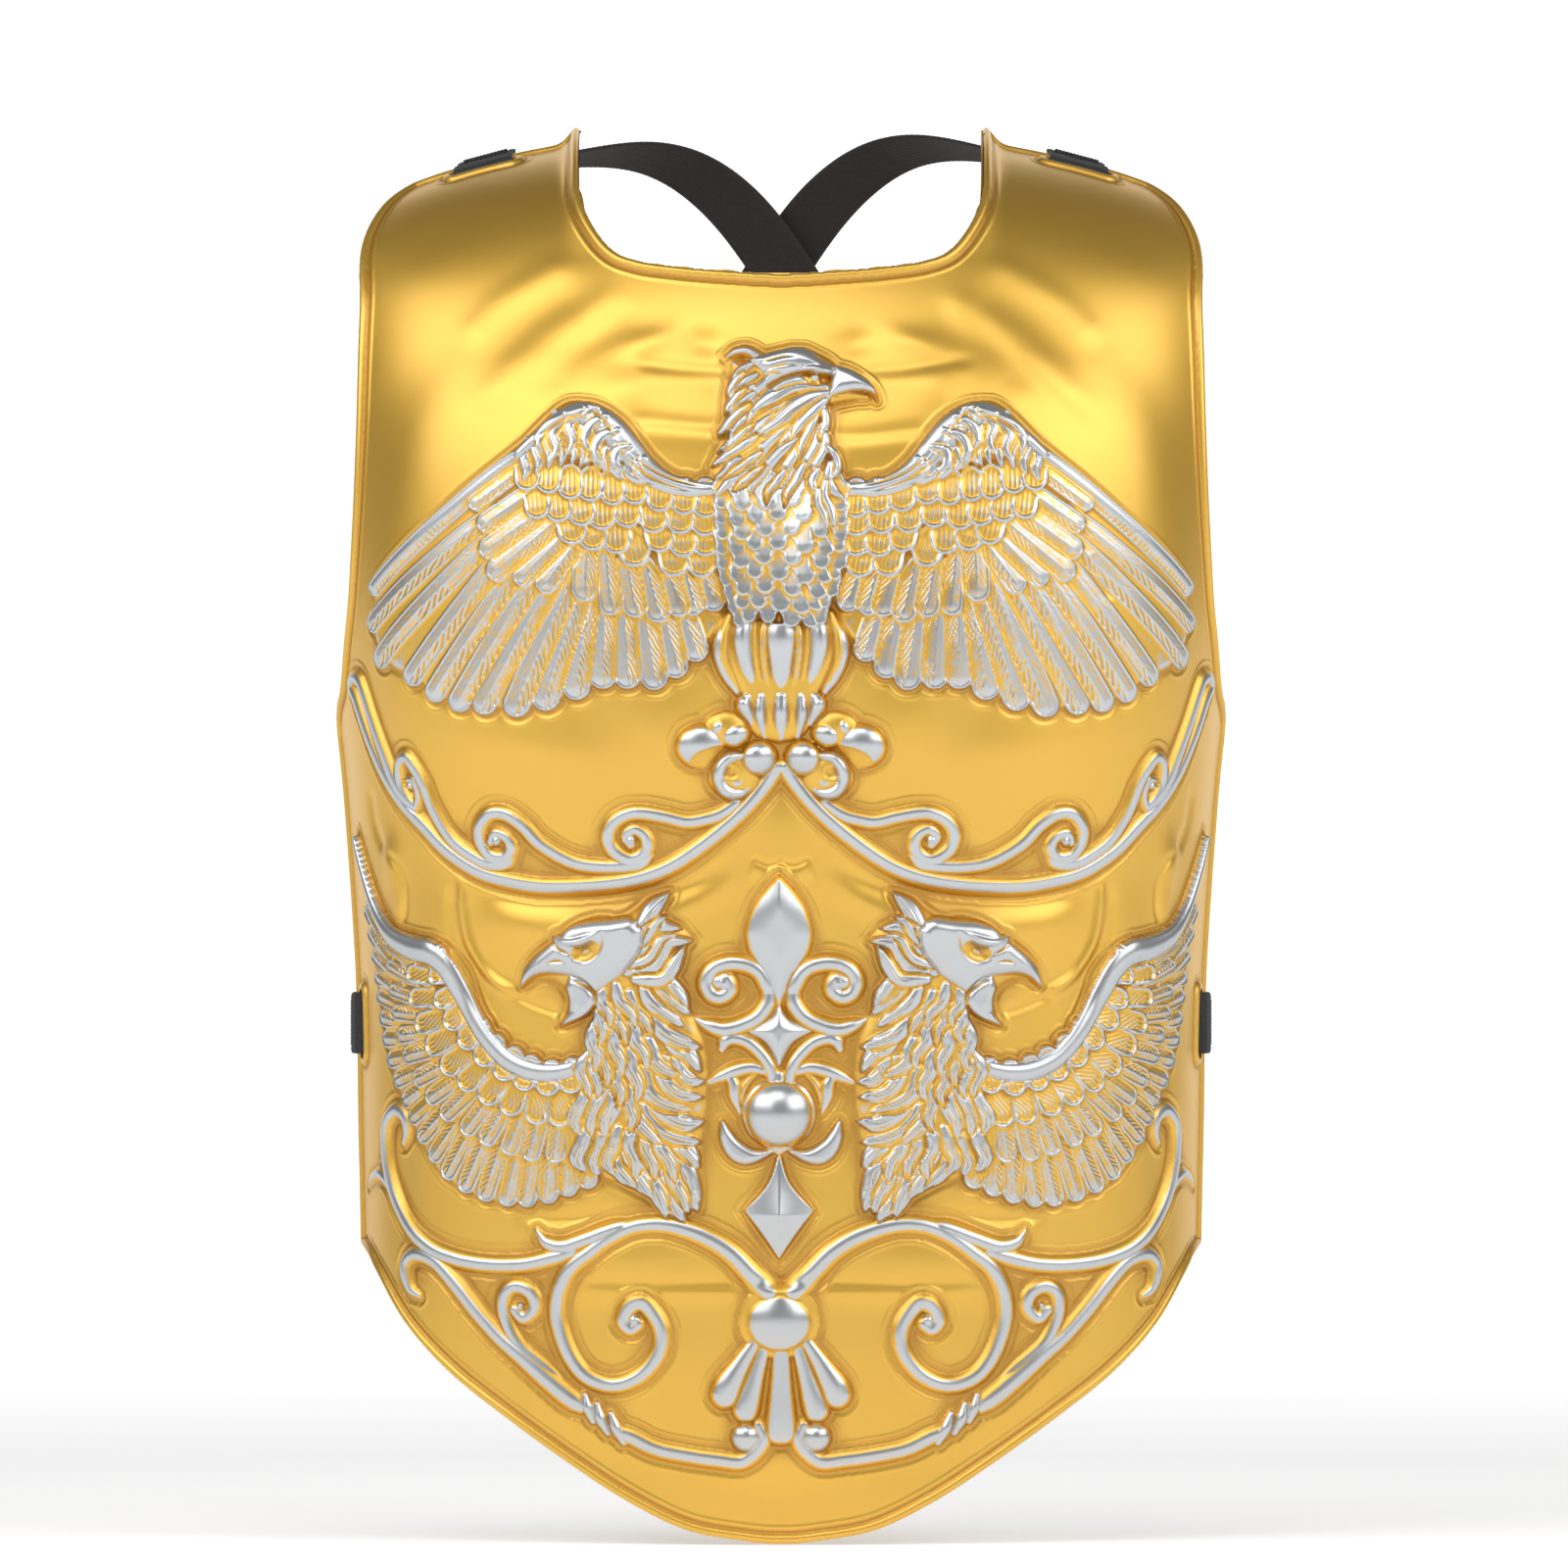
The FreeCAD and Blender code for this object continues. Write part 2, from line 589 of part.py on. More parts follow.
def neck_cutter():
    points = neck_points()
    up = Vector(0, 0, overrun)
    return through([closed_face(points + [points[-1] + up, points[0] + up])])


def hem_cutter():
    points = hem_points()
    out = Vector(overrun, 0, 0)
    down = Vector(0, 0, -plate_drop / 2)
    start, end = points[0], points[-1]
    return through([closed_face(points + [end + out, end + out + down, start - out + down, start - out])])


def side_cutter():
    points = side_places(side_edge_shares)
    top, foot = points[0], points[-1]
    back = Vector(0, plate_depth, 0)
    down = Vector(0, 0, -plate_drop / 2)
    up = Vector(0, 0, overrun)
    corners = [foot + down, foot + down + back, top + up + back, top + up]
    return closed_face(points + corners).extrude(Vector(2 * (plate_half_width + overrun), 0, 0))


def slot_boxes():
    length = strap_width + 2 * slot_side_clearance
    boxes = []
    for side in (-1, 1):
        start = Vector(
            side * shoulder_slot_place - length / 2,
            shoulder_reach - slot_inset - slot_opening / 2,
            -overrun,
        )
        boxes.append(Part.makeBox(length, slot_opening, 2 * overrun, start))
        start = Vector(
            side * plate_half_width - overrun,
            -side_edge_shares[-1][0] * plate_depth - slot_inset - slot_opening / 2,
            -side_slot_drop - length / 2,
        )
        boxes.append(Part.makeBox(2 * overrun, slot_opening, length, start))
    return boxes


def rim_band():
    # The rolled bead, proud of the sheet along the neck, the hem, the armholes and the sides
    facing = Vector(0, 1, 0)
    front = through(joined([
        stroke_face(neck_points(), 2 * rim_width, facing),
        stroke_face(hem_points(), 2 * rim_width, facing),
    ]))
    sideways = Vector(1, 0, 0)
    side = stroke_face(side_places(side_edge_shares), 2 * rim_width, sideways)
    side = side.extrude(Vector(2 * (plate_half_width + overrun), 0, 0))
    bead = tier(0, rim_height)
    return [bead.common(front), bead.common(side)]


def front_shell():
    sheet = tier(-sheet_thickness, 0).multiFuse(rim_band())
    sheet = sheet.cut(neck_cutter()).cut(hem_cutter()).cut(side_cutter())
    return sheet.cut(Part.makeCompound(slot_boxes())).removeSplitter()


# Raised figures. Each outline takes what the outlines before it left, so neighbours meet edge to edge.

taken = []


def claimed(faces):
    rest = []
    for face in joined(faces):
        rest += (face.cut(taken).Faces if taken else [face])
    taken.extend(rest)
    return rest


def feathered_face(before, valleys, tips, after, side):
    # An outline with a row of feather ends between two plain runs, each of which starts or ends the row
    points = places(before, side)[:-1] + scallops(places(valleys, side), places(tips, side))
    return closed_face(points + places(after, side)[:-1])


def feather_middles(roots, tips, side):
    # The raised middle of each feather, pointed at its root and widest near its tip
    faces = []
    for root, tip in zip(places(roots, side), places(tips, side)):
        out = direction(root, tip).cross(Vector(0, 1, 0)) * (shaft_width / 2)
        head = root + (tip - root) * shaft_reach_share
        faces.append(closed_face([root, head + out, head - out]))
    return faces


def strokes(runs, side, width=line_width):
    return [stroke_face(places(run, side), width, Vector(0, 1, 0)) for run in runs]


def circles(shares, side):
    return [circle_face(share, side) for share in shares]


def dome(share, height):
    # A round boss in rings that rise and narrow like a ball's cap, seated on the facets of the sheet
    across, down, radius = share
    rings, low = [], 0
    for width, high in dome_ring_shares:
        ring = circle_face((across, down, radius * width))
        outline = [ring] if rings else claimed([ring])
        rings.append(raised(outline, height * low, height * high))
        low = high
    return rings[0].multiFuse(rings[1:]).removeSplitter()


def eagle():
    return {
        "eagle_head": raised(claimed([runs_face(eagle_head_shares)]), 0, high_relief),
        "eagle_body": raised(claimed([runs_face(eagle_body_shares)]), 0, middle_relief),
        "eagle_tail": raised(claimed([runs_face(eagle_tail_shares)]), 0, middle_relief),
    }


def eagle_wing(side):
    wing = feathered_face(wing_lead_shares, wing_valley_shares, wing_tip_shares, wing_root_shares, side)
    covert = feathered_face(
        covert_lead_shares, covert_valley_shares, covert_tip_shares, covert_root_shares, side
    )
    wing = claimed([wing])
    covert = [part for face in wing for part in covert.common(face).Faces]
    middles = feather_middles(wing_shaft_shares, wing_tip_shares[1:], side)
    middles = raised(middles, low_relief, middle_relief)
    feathers = raised(wing, 0, low_relief).fuse(middles).removeSplitter()
    return feathers, raised(covert, low_relief, middle_relief)


def griffin(side):
    wing = feathered_face(
        griffin_wing_lead_shares + griffin_wing_root_shares[1:],
        griffin_wing_valley_shares, griffin_wing_tip_shares, griffin_wing_back_shares, side,
    )
    covert = feathered_face(
        griffin_covert_lead_shares + griffin_covert_root_shares[1:],
        griffin_covert_valley_shares, griffin_covert_tip_shares, griffin_covert_back_shares, side,
    )
    head = claimed([runs_face(griffin_head_shares, side)])
    mane = claimed([runs_face(griffin_mane_shares, side)])
    wing = claimed([wing])
    covert = [part for face in wing for part in covert.common(face).Faces]
    bone = raised(strokes([griffin_bone_shares], side, bone_width), middle_relief, high_relief)
    return {
        "griffin_head": raised(head, 0, high_relief),
        "griffin_mane": raised(mane, 0, middle_relief),
        "griffin_wing": raised(wing, 0, low_relief),
        "griffin_coverts": raised(covert, low_relief, middle_relief).fuse(bone).removeSplitter(),
    }


def centre_column():
    return {
        "fleur_petal": raised(claimed([mirrored_face(fleur_petal_shares)]), 0, middle_relief),
        "star": raised(claimed([mirrored_face(star_shares)]), 0, middle_relief),
        "ball_boss": dome(ball_share, boss_relief),
        "kite": raised(claimed([mirrored_face(kite_shares)]), 0, high_relief),
    }


def column_side(side):
    scroll = strokes(fleur_scroll_shares, side) + circles(fleur_curl_shares, side)
    arms = strokes(star_arm_shares, side)
    return {
        "fleur_scroll": raised(claimed(scroll), 0, middle_relief),
        "star_arm": raised(claimed(arms), 0, low_relief),
        "crescent": raised(claimed([runs_face(crescent_shares, side)]), 0, middle_relief),
    }


def scrollwork(side):
    chest = strokes(chest_scroll_shares, side) + circles(chest_curl_shares, side)
    belly = strokes(belly_scroll_shares, side) + circles(belly_curl_shares, side)
    hem = strokes(hem_scroll_shares, side) + circles(hem_curl_shares, side)
    return {
        "tail_rosette": raised(claimed(circles(rosette_lobe_shares, side)), 0, middle_relief),
        "chest_scroll": raised(claimed(chest), 0, low_relief),
        "belly_scroll": raised(claimed(belly), 0, low_relief),
        "side_branch": raised(claimed(strokes(side_branch_shares, side)), 0, low_relief),
        "hem_scroll": raised(claimed(hem), 0, low_relief),
    }


def palmette():
    width = palmette_petal_width_share * plate_half_width
    petals = strokes(palmette_petal_shares[:2], -1, width) + strokes(palmette_petal_shares, 1, width)
    return raised(claimed(petals + [circle_face(palmette_ball_share)]), 0, middle_relief)


# Straps

def band(route, thickness):
    # A flat strap: each stop of its route holds a point and the direction of its width
    rows = ([], [])
    last = len(route) - 1
    for index, (point, breadth) in enumerate(route):
        along = route[min(index + 1, last)][0] - route[max(index - 1, 0)][0]
        normal = along.cross(breadth)
        normal.normalize()
        half_width = breadth * (strap_width / 2)
        for row, offset in zip(rows, (-thickness / 2, thickness / 2)):
            middle = point + normal * offset
            row.append([middle - half_width, middle + half_width])
    surfaces = [pole_surface(row, surface_degree, 1) for row in rows]
    steps = strap_steps * (len(route) - surface_degree)
    under, over = [
        [[surface.value(step / steps, side) for side in (0, 1)] for step in range(steps + 1)]
        for surface in surfaces
    ]
    return solid_between(under, over)


def skin_point(start, reach):
    line = Part.LineSegment(start, start + reach).toShape()
    skin = Part.makeCompound(facets(sheet_grid(0), facet_columns // 2))
    return line.distToShape(skin)[1][0][0]


def slot_frame(middle, edge, breadth, facing):
    # Origin at the slot, then the ways along the skin to the free edge, out of the skin and along the slot
    along = direction(middle, edge)
    out = breadth.cross(along)
    if out.dot(facing) < 0:
        out = -out
    return middle, along, out, breadth


def shoulder_frame():
    across, back = -shoulder_slot_place, shoulder_reach - slot_inset
    below = Vector(0, 0, -2 * overrun)
    middle, edge, one, other = [
        skin_point(Vector(at, reach, overrun), below)
        for at, reach in (
            (across, back),
            (across, shoulder_reach),
            (across - strap_width / 2, back),
            (across + strap_width / 2, back),
        )
    ]
    return slot_frame(middle, edge, direction(one, other), Vector(0, 0, 1))


def side_frame():
    edge_back = -side_edge_shares[-1][0] * plate_depth
    inwards = Vector(-plate_half_width, 0, 0)
    middle, edge = [
        skin_point(Vector(plate_half_width + overrun, reach, -side_slot_drop), inwards)
        for reach in (edge_back - slot_inset, edge_back)
    ]
    return slot_frame(middle, edge, Vector(0, 0, 1), Vector(1, 0, 0))


def loop(frame, lift):
    # The strap's end: from behind the edge, inside the sheet, out through the slot and back over the edge. It
    # keeps so far off the skin that its flat width clears the sheet's curve.
    origin, along, out, breadth = frame
    gap = strap_seat + strap_thickness / 2
    inside = -sheet_thickness - gap
    outside = lift + gap
    beside = inside + strap_thickness + strap_clearance
    tail = slot_inset + strap_tail
    stops = [
        (slot_inset + strap_tail, inside),
        (slot_inset + strap_tail * tail_bend_share, inside),
        (slot_inset, inside),
        (slot_inset / 2, inside),
        (slot_opening / 2, inside),
        (-slot_opening * turn_share, inside),
        (-slot_opening * turn_share, outside),
        (slot_opening / 2, outside),
        (slot_inset / 2, outside),
        (slot_inset + slot_opening / 2, outside),
        (slot_inset + strap_tail * tail_bend_share, beside),
        (tail - tack_width, beside),
        (tail, beside),
    ]
    return [(origin + along * run + out * rise, breadth) for run, rise in stops]


def strap_route(lift):
    points, facings = [], []
    for across, back, down, lifted, *facing in strap_route_shares:
        facing = Vector(*facing)
        point = Vector(across * plate_half_width, back * plate_depth, -down * plate_drop)
        points.append(point + facing * (lift * lifted))
        facings.append(facing)
    shoulder, side = loop(shoulder_frame(), 0)[::-1], loop(side_frame(), rim_height)
    ends = [shoulder[-1][0]] + points + [side[0][0]]
    run = []
    for index, facing in enumerate(facings):
        breadth = (ends[index + 2] - ends[index]).cross(facing)
        breadth.normalize()
        run.append((points[index], breadth))
    return shoulder + run + side


def tack(frame):
    # A bar of thread that sews the turned end down
    origin, along, out, breadth = frame
    inside = -sheet_thickness - strap_seat - strap_thickness / 2
    rise = inside + 1.5 * strap_thickness + 3 * strap_clearance
    run = slot_inset + strap_tail - 2 * tack_width
    half_length = breadth * (strap_width / 2 - tack_width)
    corner = origin + along * run + out * rise
    across = along * tack_width
    corners = [corner - half_length, corner + half_length, corner + half_length + across]
    return closed_face(corners + [corner - half_length + across]).extrude(out * tack_thickness)


def straps():
    middle = Vector(0, 0, 0)
    sideways = Vector(1, 0, 0)
    under = band(strap_route(0), strap_thickness)
    over = band(strap_route(strap_thickness + crossing_gap), strap_thickness)
    shoulder, side = tack(shoulder_frame()), tack(side_frame())
    return {
        "strap_from_left": under,
        "strap_from_right": over.mirror(middle, sideways),
        "shoulder_tack_left": shoulder,
        "shoulder_tack_right": shoulder.mirror(middle, sideways),
        "side_tack_right": side,
        "side_tack_left": side.mirror(middle, sideways),
    }


# The whole object

def nodes():
    made = {"front_shell": front_shell()}
    made.update(eagle())
    made.update(centre_column())
    for side, name in ((1, "left"), (-1, "right")):
        made["wing_" + name], made["wing_coverts_" + name] = eagle_wing(side)
        for part in (griffin(side), column_side(side)):
            made.update({key + "_" + name: shape for key, shape in part.items()})
    made["palmette"] = palmette()
    for side, name in ((1, "left"), (-1, "right")):
        made.update({key + "_" + name: shape for key, shape in scrollwork(side).items()})
    made.update(straps())
    return made


def main():
    os.makedirs("parts", exist_ok=True)
    for name, shape in nodes().items():
        solids = shape.Solids
        whole = solids[0] if len(solids) == 1 else Part.makeCompound(solids)
        print(name, len(solids), whole.isValid(), round(whole.Volume))
        whole.exportStep("parts/" + name + ".step")


main()
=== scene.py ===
import math
import time

import bpy
import numpy as np
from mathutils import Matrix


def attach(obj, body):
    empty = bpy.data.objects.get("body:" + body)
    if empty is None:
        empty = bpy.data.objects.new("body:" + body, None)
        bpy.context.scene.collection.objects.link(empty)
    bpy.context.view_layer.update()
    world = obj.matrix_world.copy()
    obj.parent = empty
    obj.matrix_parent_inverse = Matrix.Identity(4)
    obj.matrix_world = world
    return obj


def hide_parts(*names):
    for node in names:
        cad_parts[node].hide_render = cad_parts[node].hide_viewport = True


# A costume breastplate: one formed sheet, sprayed gold and rubbed with silver on its raised work, and two
# elastic straps. The sheet is a height field over a smooth body form, in millimetres. The ornament is drawn
# in pixels of a frame of 1600 by 1600, its left half, and mirrored where both halves match.

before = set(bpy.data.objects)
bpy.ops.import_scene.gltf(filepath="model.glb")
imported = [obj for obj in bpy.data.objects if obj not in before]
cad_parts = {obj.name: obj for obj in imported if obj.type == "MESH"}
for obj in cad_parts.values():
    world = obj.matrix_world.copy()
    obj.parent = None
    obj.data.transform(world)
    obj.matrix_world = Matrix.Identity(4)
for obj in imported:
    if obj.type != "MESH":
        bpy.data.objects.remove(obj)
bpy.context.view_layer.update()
started = time.time()

# One pixel is this many mm on the sheet. The ornament's middle is a little left of the sheet's.
picture = {"centreX": 797.0, "levelY": 180.0, "scale": 0.40, "ornamentX": 795.0}
camera = {
    "distance": 9.0, "sensor": 36.0, "aimX": 0.0012, "aimZ": -0.2480, "frameWidth": 0.640, "nearPlane": -0.06,
}


def report(stage):
    print(f"{stage}: {time.time() - started:.1f} s")


# Camera

def makeCamera():
    data = bpy.data.cameras.new("camera")
    data.sensor_width = camera["sensor"]
    data.lens = camera["sensor"] * camera["distance"] / camera["frameWidth"]
    data.clip_end = 4 * camera["distance"]
    placed = bpy.data.objects.new("camera", data)
    bpy.context.scene.collection.objects.link(placed)
    placed.location = (camera["aimX"], camera["nearPlane"] - camera["distance"], camera["aimZ"])
    placed.rotation_euler = (math.radians(90), 0, 0)
    bpy.context.scene.camera = placed


makeCamera()
report("camera")


# Body form: sections at stations, and the smooth surface through their net

body = {
    "thickness": 1.5,
    # height, forward, half width, section depth, tilt in degrees, squareness
    "stations": [
        (-640, 74, 172, 80, 0, 2.40), (-560, 90, 172, 94, 0, 2.40), (-470, 106, 172, 108, 0, 2.45),
        (-385, 108, 173, 108, 0, 2.50), (-300, 112, 177, 114, 0, 2.60), (-210, 124, 184, 122, 0, 2.60),
        (-120, 118, 190, 116, 6, 2.50), (-45, 96, 196, 108, 28, 2.30), (-6, 66, 198, 92, 50, 2.20),
        (14, 32, 198, 70, 70, 2.00), (22.5, -4, 198, 60, 86, 2.00), (24, -46, 198, 60, 92, 2.00),
    ],
    "columns": [0.22, 0.48, 0.72, 0.90, 0.985, 1.0],
}
grid = {"step": 0.56, "halfAcross": 262.0, "profileSamples": 2000, "sectionSamples": 500, "backEvery": 4}


def smooth(low, high, value):
    share = np.clip((value - low) / (high - low), 0, 1)
    return share * share * (3 - 2 * share)


def bodyNet():
    columns = [-share for share in reversed(body["columns"])] + [0.0] + body["columns"]
    net = []
    for height, forward, half, depth, tilt, squareness in body["stations"]:
        angle = math.radians(tilt)
        row = []
        for share in columns:
            inward = depth * (1 - max(0.0, 1 - abs(share) ** squareness) ** (1 / squareness))
            row.append((share * half, -forward + inward * math.cos(angle), height - inward * math.sin(angle)))
        net.append(row)
    return np.array(net)


def splineWeights(count, at, degree=3):
    # Weights of the poles of a clamped even B-spline, at places from 0 to 1
    knots = np.concatenate([np.zeros(degree), np.linspace(0, 1, count - degree + 1), np.ones(degree)])
    at = np.clip(np.asarray(at, float), 0, 1 - 1e-12)
    weights = [((at >= low) & (at < high)).astype(float) for low, high in zip(knots, knots[1:])]
    for step in range(1, degree + 1):
        raised = []
        for index in range(len(weights) - 1):
            near = knots[index + step] - knots[index]
            far = knots[index + step + 1] - knots[index + 1]
            value = np.zeros_like(at)
            if near > 0:
                value = value + (at - knots[index]) / near * weights[index]
            if far > 0:
                value = value + (knots[index + step + 1] - at) / far * weights[index + 1]
            raised.append(value)
        weights = raised
    return np.stack(weights, -1)


def runLengths(points):
    # How far along a line of points each of them lies
    return np.concatenate([[0], np.cumsum(np.linalg.norm(np.diff(points, axis=0), axis=1))])


def gridNormals(points):
    across = np.gradient(points, axis=1)
    down = np.gradient(points, axis=0)
    normal = np.cross(down, across)
    return normal / np.maximum(np.linalg.norm(normal, axis=2, keepdims=True), 1e-9)


class Sheet:
    # The sheet's grid: a runs across along each section and b down the centre line, both in mm
    def __init__(self):
        net = bodyNet()
        rowsAt = np.linspace(0, 1, grid["profileSamples"])
        middle = splineWeights(net.shape[1], [0.5])[0]
        profile = splineWeights(net.shape[0], rowsAt) @ np.einsum("j,ijk->ik", middle, net)
        lengths = runLengths(profile)
        down = lengths[-1] - lengths
        step = grid["step"]
        self.b = np.arange(int(lengths[-1] / step) + 1) * step
        rowAt = np.interp(self.b, down[::-1], rowsAt[::-1])
        half = int(grid["halfAcross"] / step)
        self.a = np.arange(-half, half + 1) * step
        rowNets = np.einsum("ri,ijk->rjk", splineWeights(net.shape[0], rowAt), net)
        columnsAt = np.linspace(0, 1, grid["sectionSamples"])
        columnWeights = splineWeights(net.shape[1], columnsAt)
        shape = (len(self.b), len(self.a))
        self.base = np.empty(shape + (3,))
        self.real = np.empty(shape, bool)
        for index, rowNet in enumerate(rowNets):
            section = columnWeights @ rowNet
            along = runLengths(section)
            along -= along[-1] / 2
            self.real[index] = abs(self.a) < along[-1]
            at = np.interp(self.a, along, columnsAt)
            self.base[index] = splineWeights(net.shape[1], at) @ rowNet
        self.normal = gridNormals(self.base)
        self.form = np.zeros(shape)      # muscles, folds and dents
        self.relief = np.zeros(shape)    # ornament
        self.cover = np.zeros(shape)     # 1 on ornament
        self.silver = np.zeros(shape)
        self.settledPaintAndShade = np.zeros(shape)    # darker gold in hollows: partly paint settled in corners, partly painted shade
        self.fine = np.zeros(shape)      # 1 on feathers and hair, where silver is rubbed on the crests
        self.shine = np.zeros(shape)     # extra silver there
        self.owner = np.zeros(shape, np.int32)
        self.owners = ["sheet"]
        self.side = 1

    def place(self, points):
        # Pixels of the picture to places on the sheet, in mm. Further columns are kept.
        points = np.atleast_2d(np.array(points, float))
        acrossAt = -abs(points[:, 0] - picture["centreX"]) * picture["scale"]
        sign = np.where(points[:, 0] > picture["centreX"], -1, 1) * self.side
        levelAt = (picture["levelY"] - points[:, 1]) * picture["scale"]
        step = grid["step"]
        middle = len(self.a) // 2
        profile = self.base[:, middle, 2]
        b = np.interp(-levelAt, -profile, self.b)
        a = np.zeros(len(points))
        for index in range(len(points)):
            for _ in range(14):
                row = int(np.clip(round(b[index] / step), 1, len(self.b) - 2))
                a[index] = np.interp(acrossAt[index], self.base[row, :middle + 1, 0], self.a[:middle + 1])
                column = int(np.clip(round((a[index] - self.a[0]) / step), 0, middle))
                slope = (self.base[row + 1, column, 2] - self.base[row - 1, column, 2]) / (2 * step)
                level = self.base[row, column, 2] + slope * (b[index] - self.b[row])
                b[index] += np.clip((levelAt[index] - level) / min(slope, -0.3), -20, 20)
        placed = points.copy()
        placed[:, 0] = a * sign
        placed[:, 1] = b
        return placed

    def window(self, low, high):
        step = grid["step"]
        left, right = (int((place[0] - self.a[0]) / step) for place in (low, high))
        top, bottom = (int(place[1] / step) for place in (low, high))
        return slice(max(0, top), max(0, bottom + 2)), slice(max(0, left), max(0, right + 2))


sheet = Sheet()
report("body form")


def curve(points, spacing=1.2, closed=False):
    # A smooth line through the points, in even steps. Further columns follow along.
    points = np.array(points, float)
    if len(points) < 3 and not closed:
        count = max(2, int(np.linalg.norm(points[-1, :2] - points[0, :2]) / spacing) + 1)
        return points[0] + (points[-1] - points[0]) * np.linspace(0, 1, count)[:, None]
    if closed:
        padded = np.vstack([points[-1], points, points[0], points[1]])
    else:
        padded = np.vstack([2 * points[0] - points[1], points, 2 * points[-1] - points[-2]])
    line = []
    for index in range(1, len(padded) - 2):
        before, start, end, after = padded[index - 1:index + 3]
        count = max(2, int(np.linalg.norm(end[:2] - start[:2]) / spacing) + 1)
        share = np.linspace(0, 1, count, endpoint=False)[:, None]
        one = (end - before) / 2
        other = (after - start) / 2
        gap = end - start
        square = (3 * gap - 2 * one - other) * share ** 2
        line.append(start + one * share + square + (one + other - 2 * gap) * share ** 3)
    line.append(padded[-2][None])
    return np.vstack(line)


class Near:
    # Grid places near a line: distance, side, place along, and the line's further values there
    def __init__(self, line, reach):
        low = line[:, :2].min(0) - reach
        high = line[:, :2].max(0) + reach
        self.at = sheet.window(low, high)
        rows, columns = self.at
        a = sheet.a[columns]
        b = sheet.b[rows]
        shape = (len(b), len(a))
        away = np.full(shape, 1e6)
        index = np.zeros(shape)
        self.across = np.zeros(shape)
        step = grid["step"]
        for start in range(len(line) - 1):
            one = line[start, :2]
            other = line[start + 1, :2]
            lowest = np.minimum(one, other) - reach
            highest = np.maximum(one, other) + reach
            c0 = max(0, int((lowest[0] - a[0]) / step)) if len(a) else 0
            c1 = max(0, int((highest[0] - a[0]) / step) + 2) if len(a) else 0
            r0 = max(0, int((lowest[1] - b[0]) / step)) if len(b) else 0
            r1 = max(0, int((highest[1] - b[0]) / step) + 2) if len(b) else 0
            da = a[None, c0:c1] - one[0]
            db = b[r0:r1, None] - one[1]
            way = other - one
            length = max(way @ way, 1e-9)
            share = np.clip((da * way[0] + db * way[1]) / length, 0, 1)
            ea = da - share * way[0]
            eb = db - share * way[1]
            square = ea * ea + eb * eb
            part = (slice(r0, r1), slice(c0, c1))
            closer = square < away[part]
            away[part] = np.where(closer, square, away[part])
            index[part] = np.where(closer, start + share, index[part])
            turn = (way[0] * db - way[1] * da) / math.sqrt(length)
            self.across[part] = np.where(closer, turn, self.across[part])
        self.away = np.sqrt(away)
        lengths = runLengths(line[:, :2])
        places = np.arange(len(line))
        self.along = np.interp(index, places, lengths)
        self.share = self.along / max(lengths[-1], 1e-9)
        self.values = [np.interp(index, places, line[:, column]) for column in range(2, line.shape[1])]


def paint(at, share, height, silver, owner=None):
    # Lays a form over what is there, so much of it as share says
    sheet.relief[at] = sheet.relief[at] * (1 - share) + height * share
    sheet.silver[at] = sheet.silver[at] * (1 - share) + silver * share
    sheet.cover[at] = np.maximum(sheet.cover[at], share)
    if owner is not None:
        sheet.owner[at] = np.where(share > 0.5, owner, sheet.owner[at])


def lift(at, height, silver, owner=None, blend=0.5):
    # Raises the sheet to a form wherever the form is the higher, with a soft join
    old = sheet.relief[at]
    share = smooth(-blend, blend, height - old) * (height > 0.02)
    joined = np.maximum(old, height) + blend / 6 * (share * (1 - share))
    sheet.relief[at] = np.where(height > 0.02, joined, old)
    sheet.silver[at] = sheet.silver[at] * (1 - share) + silver * share
    sheet.cover[at] = np.maximum(sheet.cover[at], (height > 0.15).astype(float))
    if owner is not None:
        sheet.owner[at] = np.where((height > 0.15) & (share > 0.5), owner, sheet.owner[at])


def blurred(field, radius):
    # Mean over a square window, twice
    for _ in range(2):
        for axis in (0, 1):
            total = np.cumsum(field, axis=axis)
            size = field.shape[axis]
            low = np.clip(np.arange(size) - radius - 1, 0, size - 1)
            high = np.clip(np.arange(size) + radius, 0, size - 1)
            field = (np.take(total, high, axis) - np.take(total, low, axis)) / (2 * radius + 1)
    return field


def ownerOf(name):
    if name not in sheet.owners:
        sheet.owners.append(name)
    return sheet.owners.index(name)


def sideName(name):
    return name + ("_left" if sheet.side > 0 else "_right")


def bothSides(draw):
    for side in (1, -1):
        sheet.side = side
        draw()
    sheet.side = 1


def stroke(points, width, height, owner, silverFrom=0.64, silverTo=0.92, power=0.85, silver=1.0):
    # A drawn line with a round crest. The width is across its foot, in mm. A point may hold a share of both.
    line = curve(sheet.place([tuple(point) + (1.0,) * (3 - len(point)) for point in points]), 1.0)
    near = Near(line, width / 2 * 1.3 + 0.6)
    size = np.maximum(near.values[0], 0.02)
    half = width / 2 * size
    crest = np.clip(1 - (near.away / half) ** 2, 0, 1) ** power
    lift(near.at, height * size * crest, silver * smooth(silverFrom, silverTo, crest), owner)


def oval(centre, radii, turn):
    # A round or oval field, 1 in its middle and 0 at its edge. The radii are in pixels across and down.
    at = sheet.place([centre])[0]
    scale = picture["scale"]
    radius = max(radii) * scale
    window = sheet.window(at[:2] - radius - 1, at[:2] + radius + 1)
    da = (sheet.a[window[1]][None] - at[0]) * sheet.side
    db = sheet.b[window[0]][:, None] - at[1]
    cos = math.cos(math.radians(turn))
    sin = math.sin(math.radians(turn))
    one = (da * cos + db * sin) / (radii[0] * scale)
    other = (db * cos - da * sin) / (radii[1] * scale)
    return window, np.clip(1 - one * one - other * other, 0, 1)


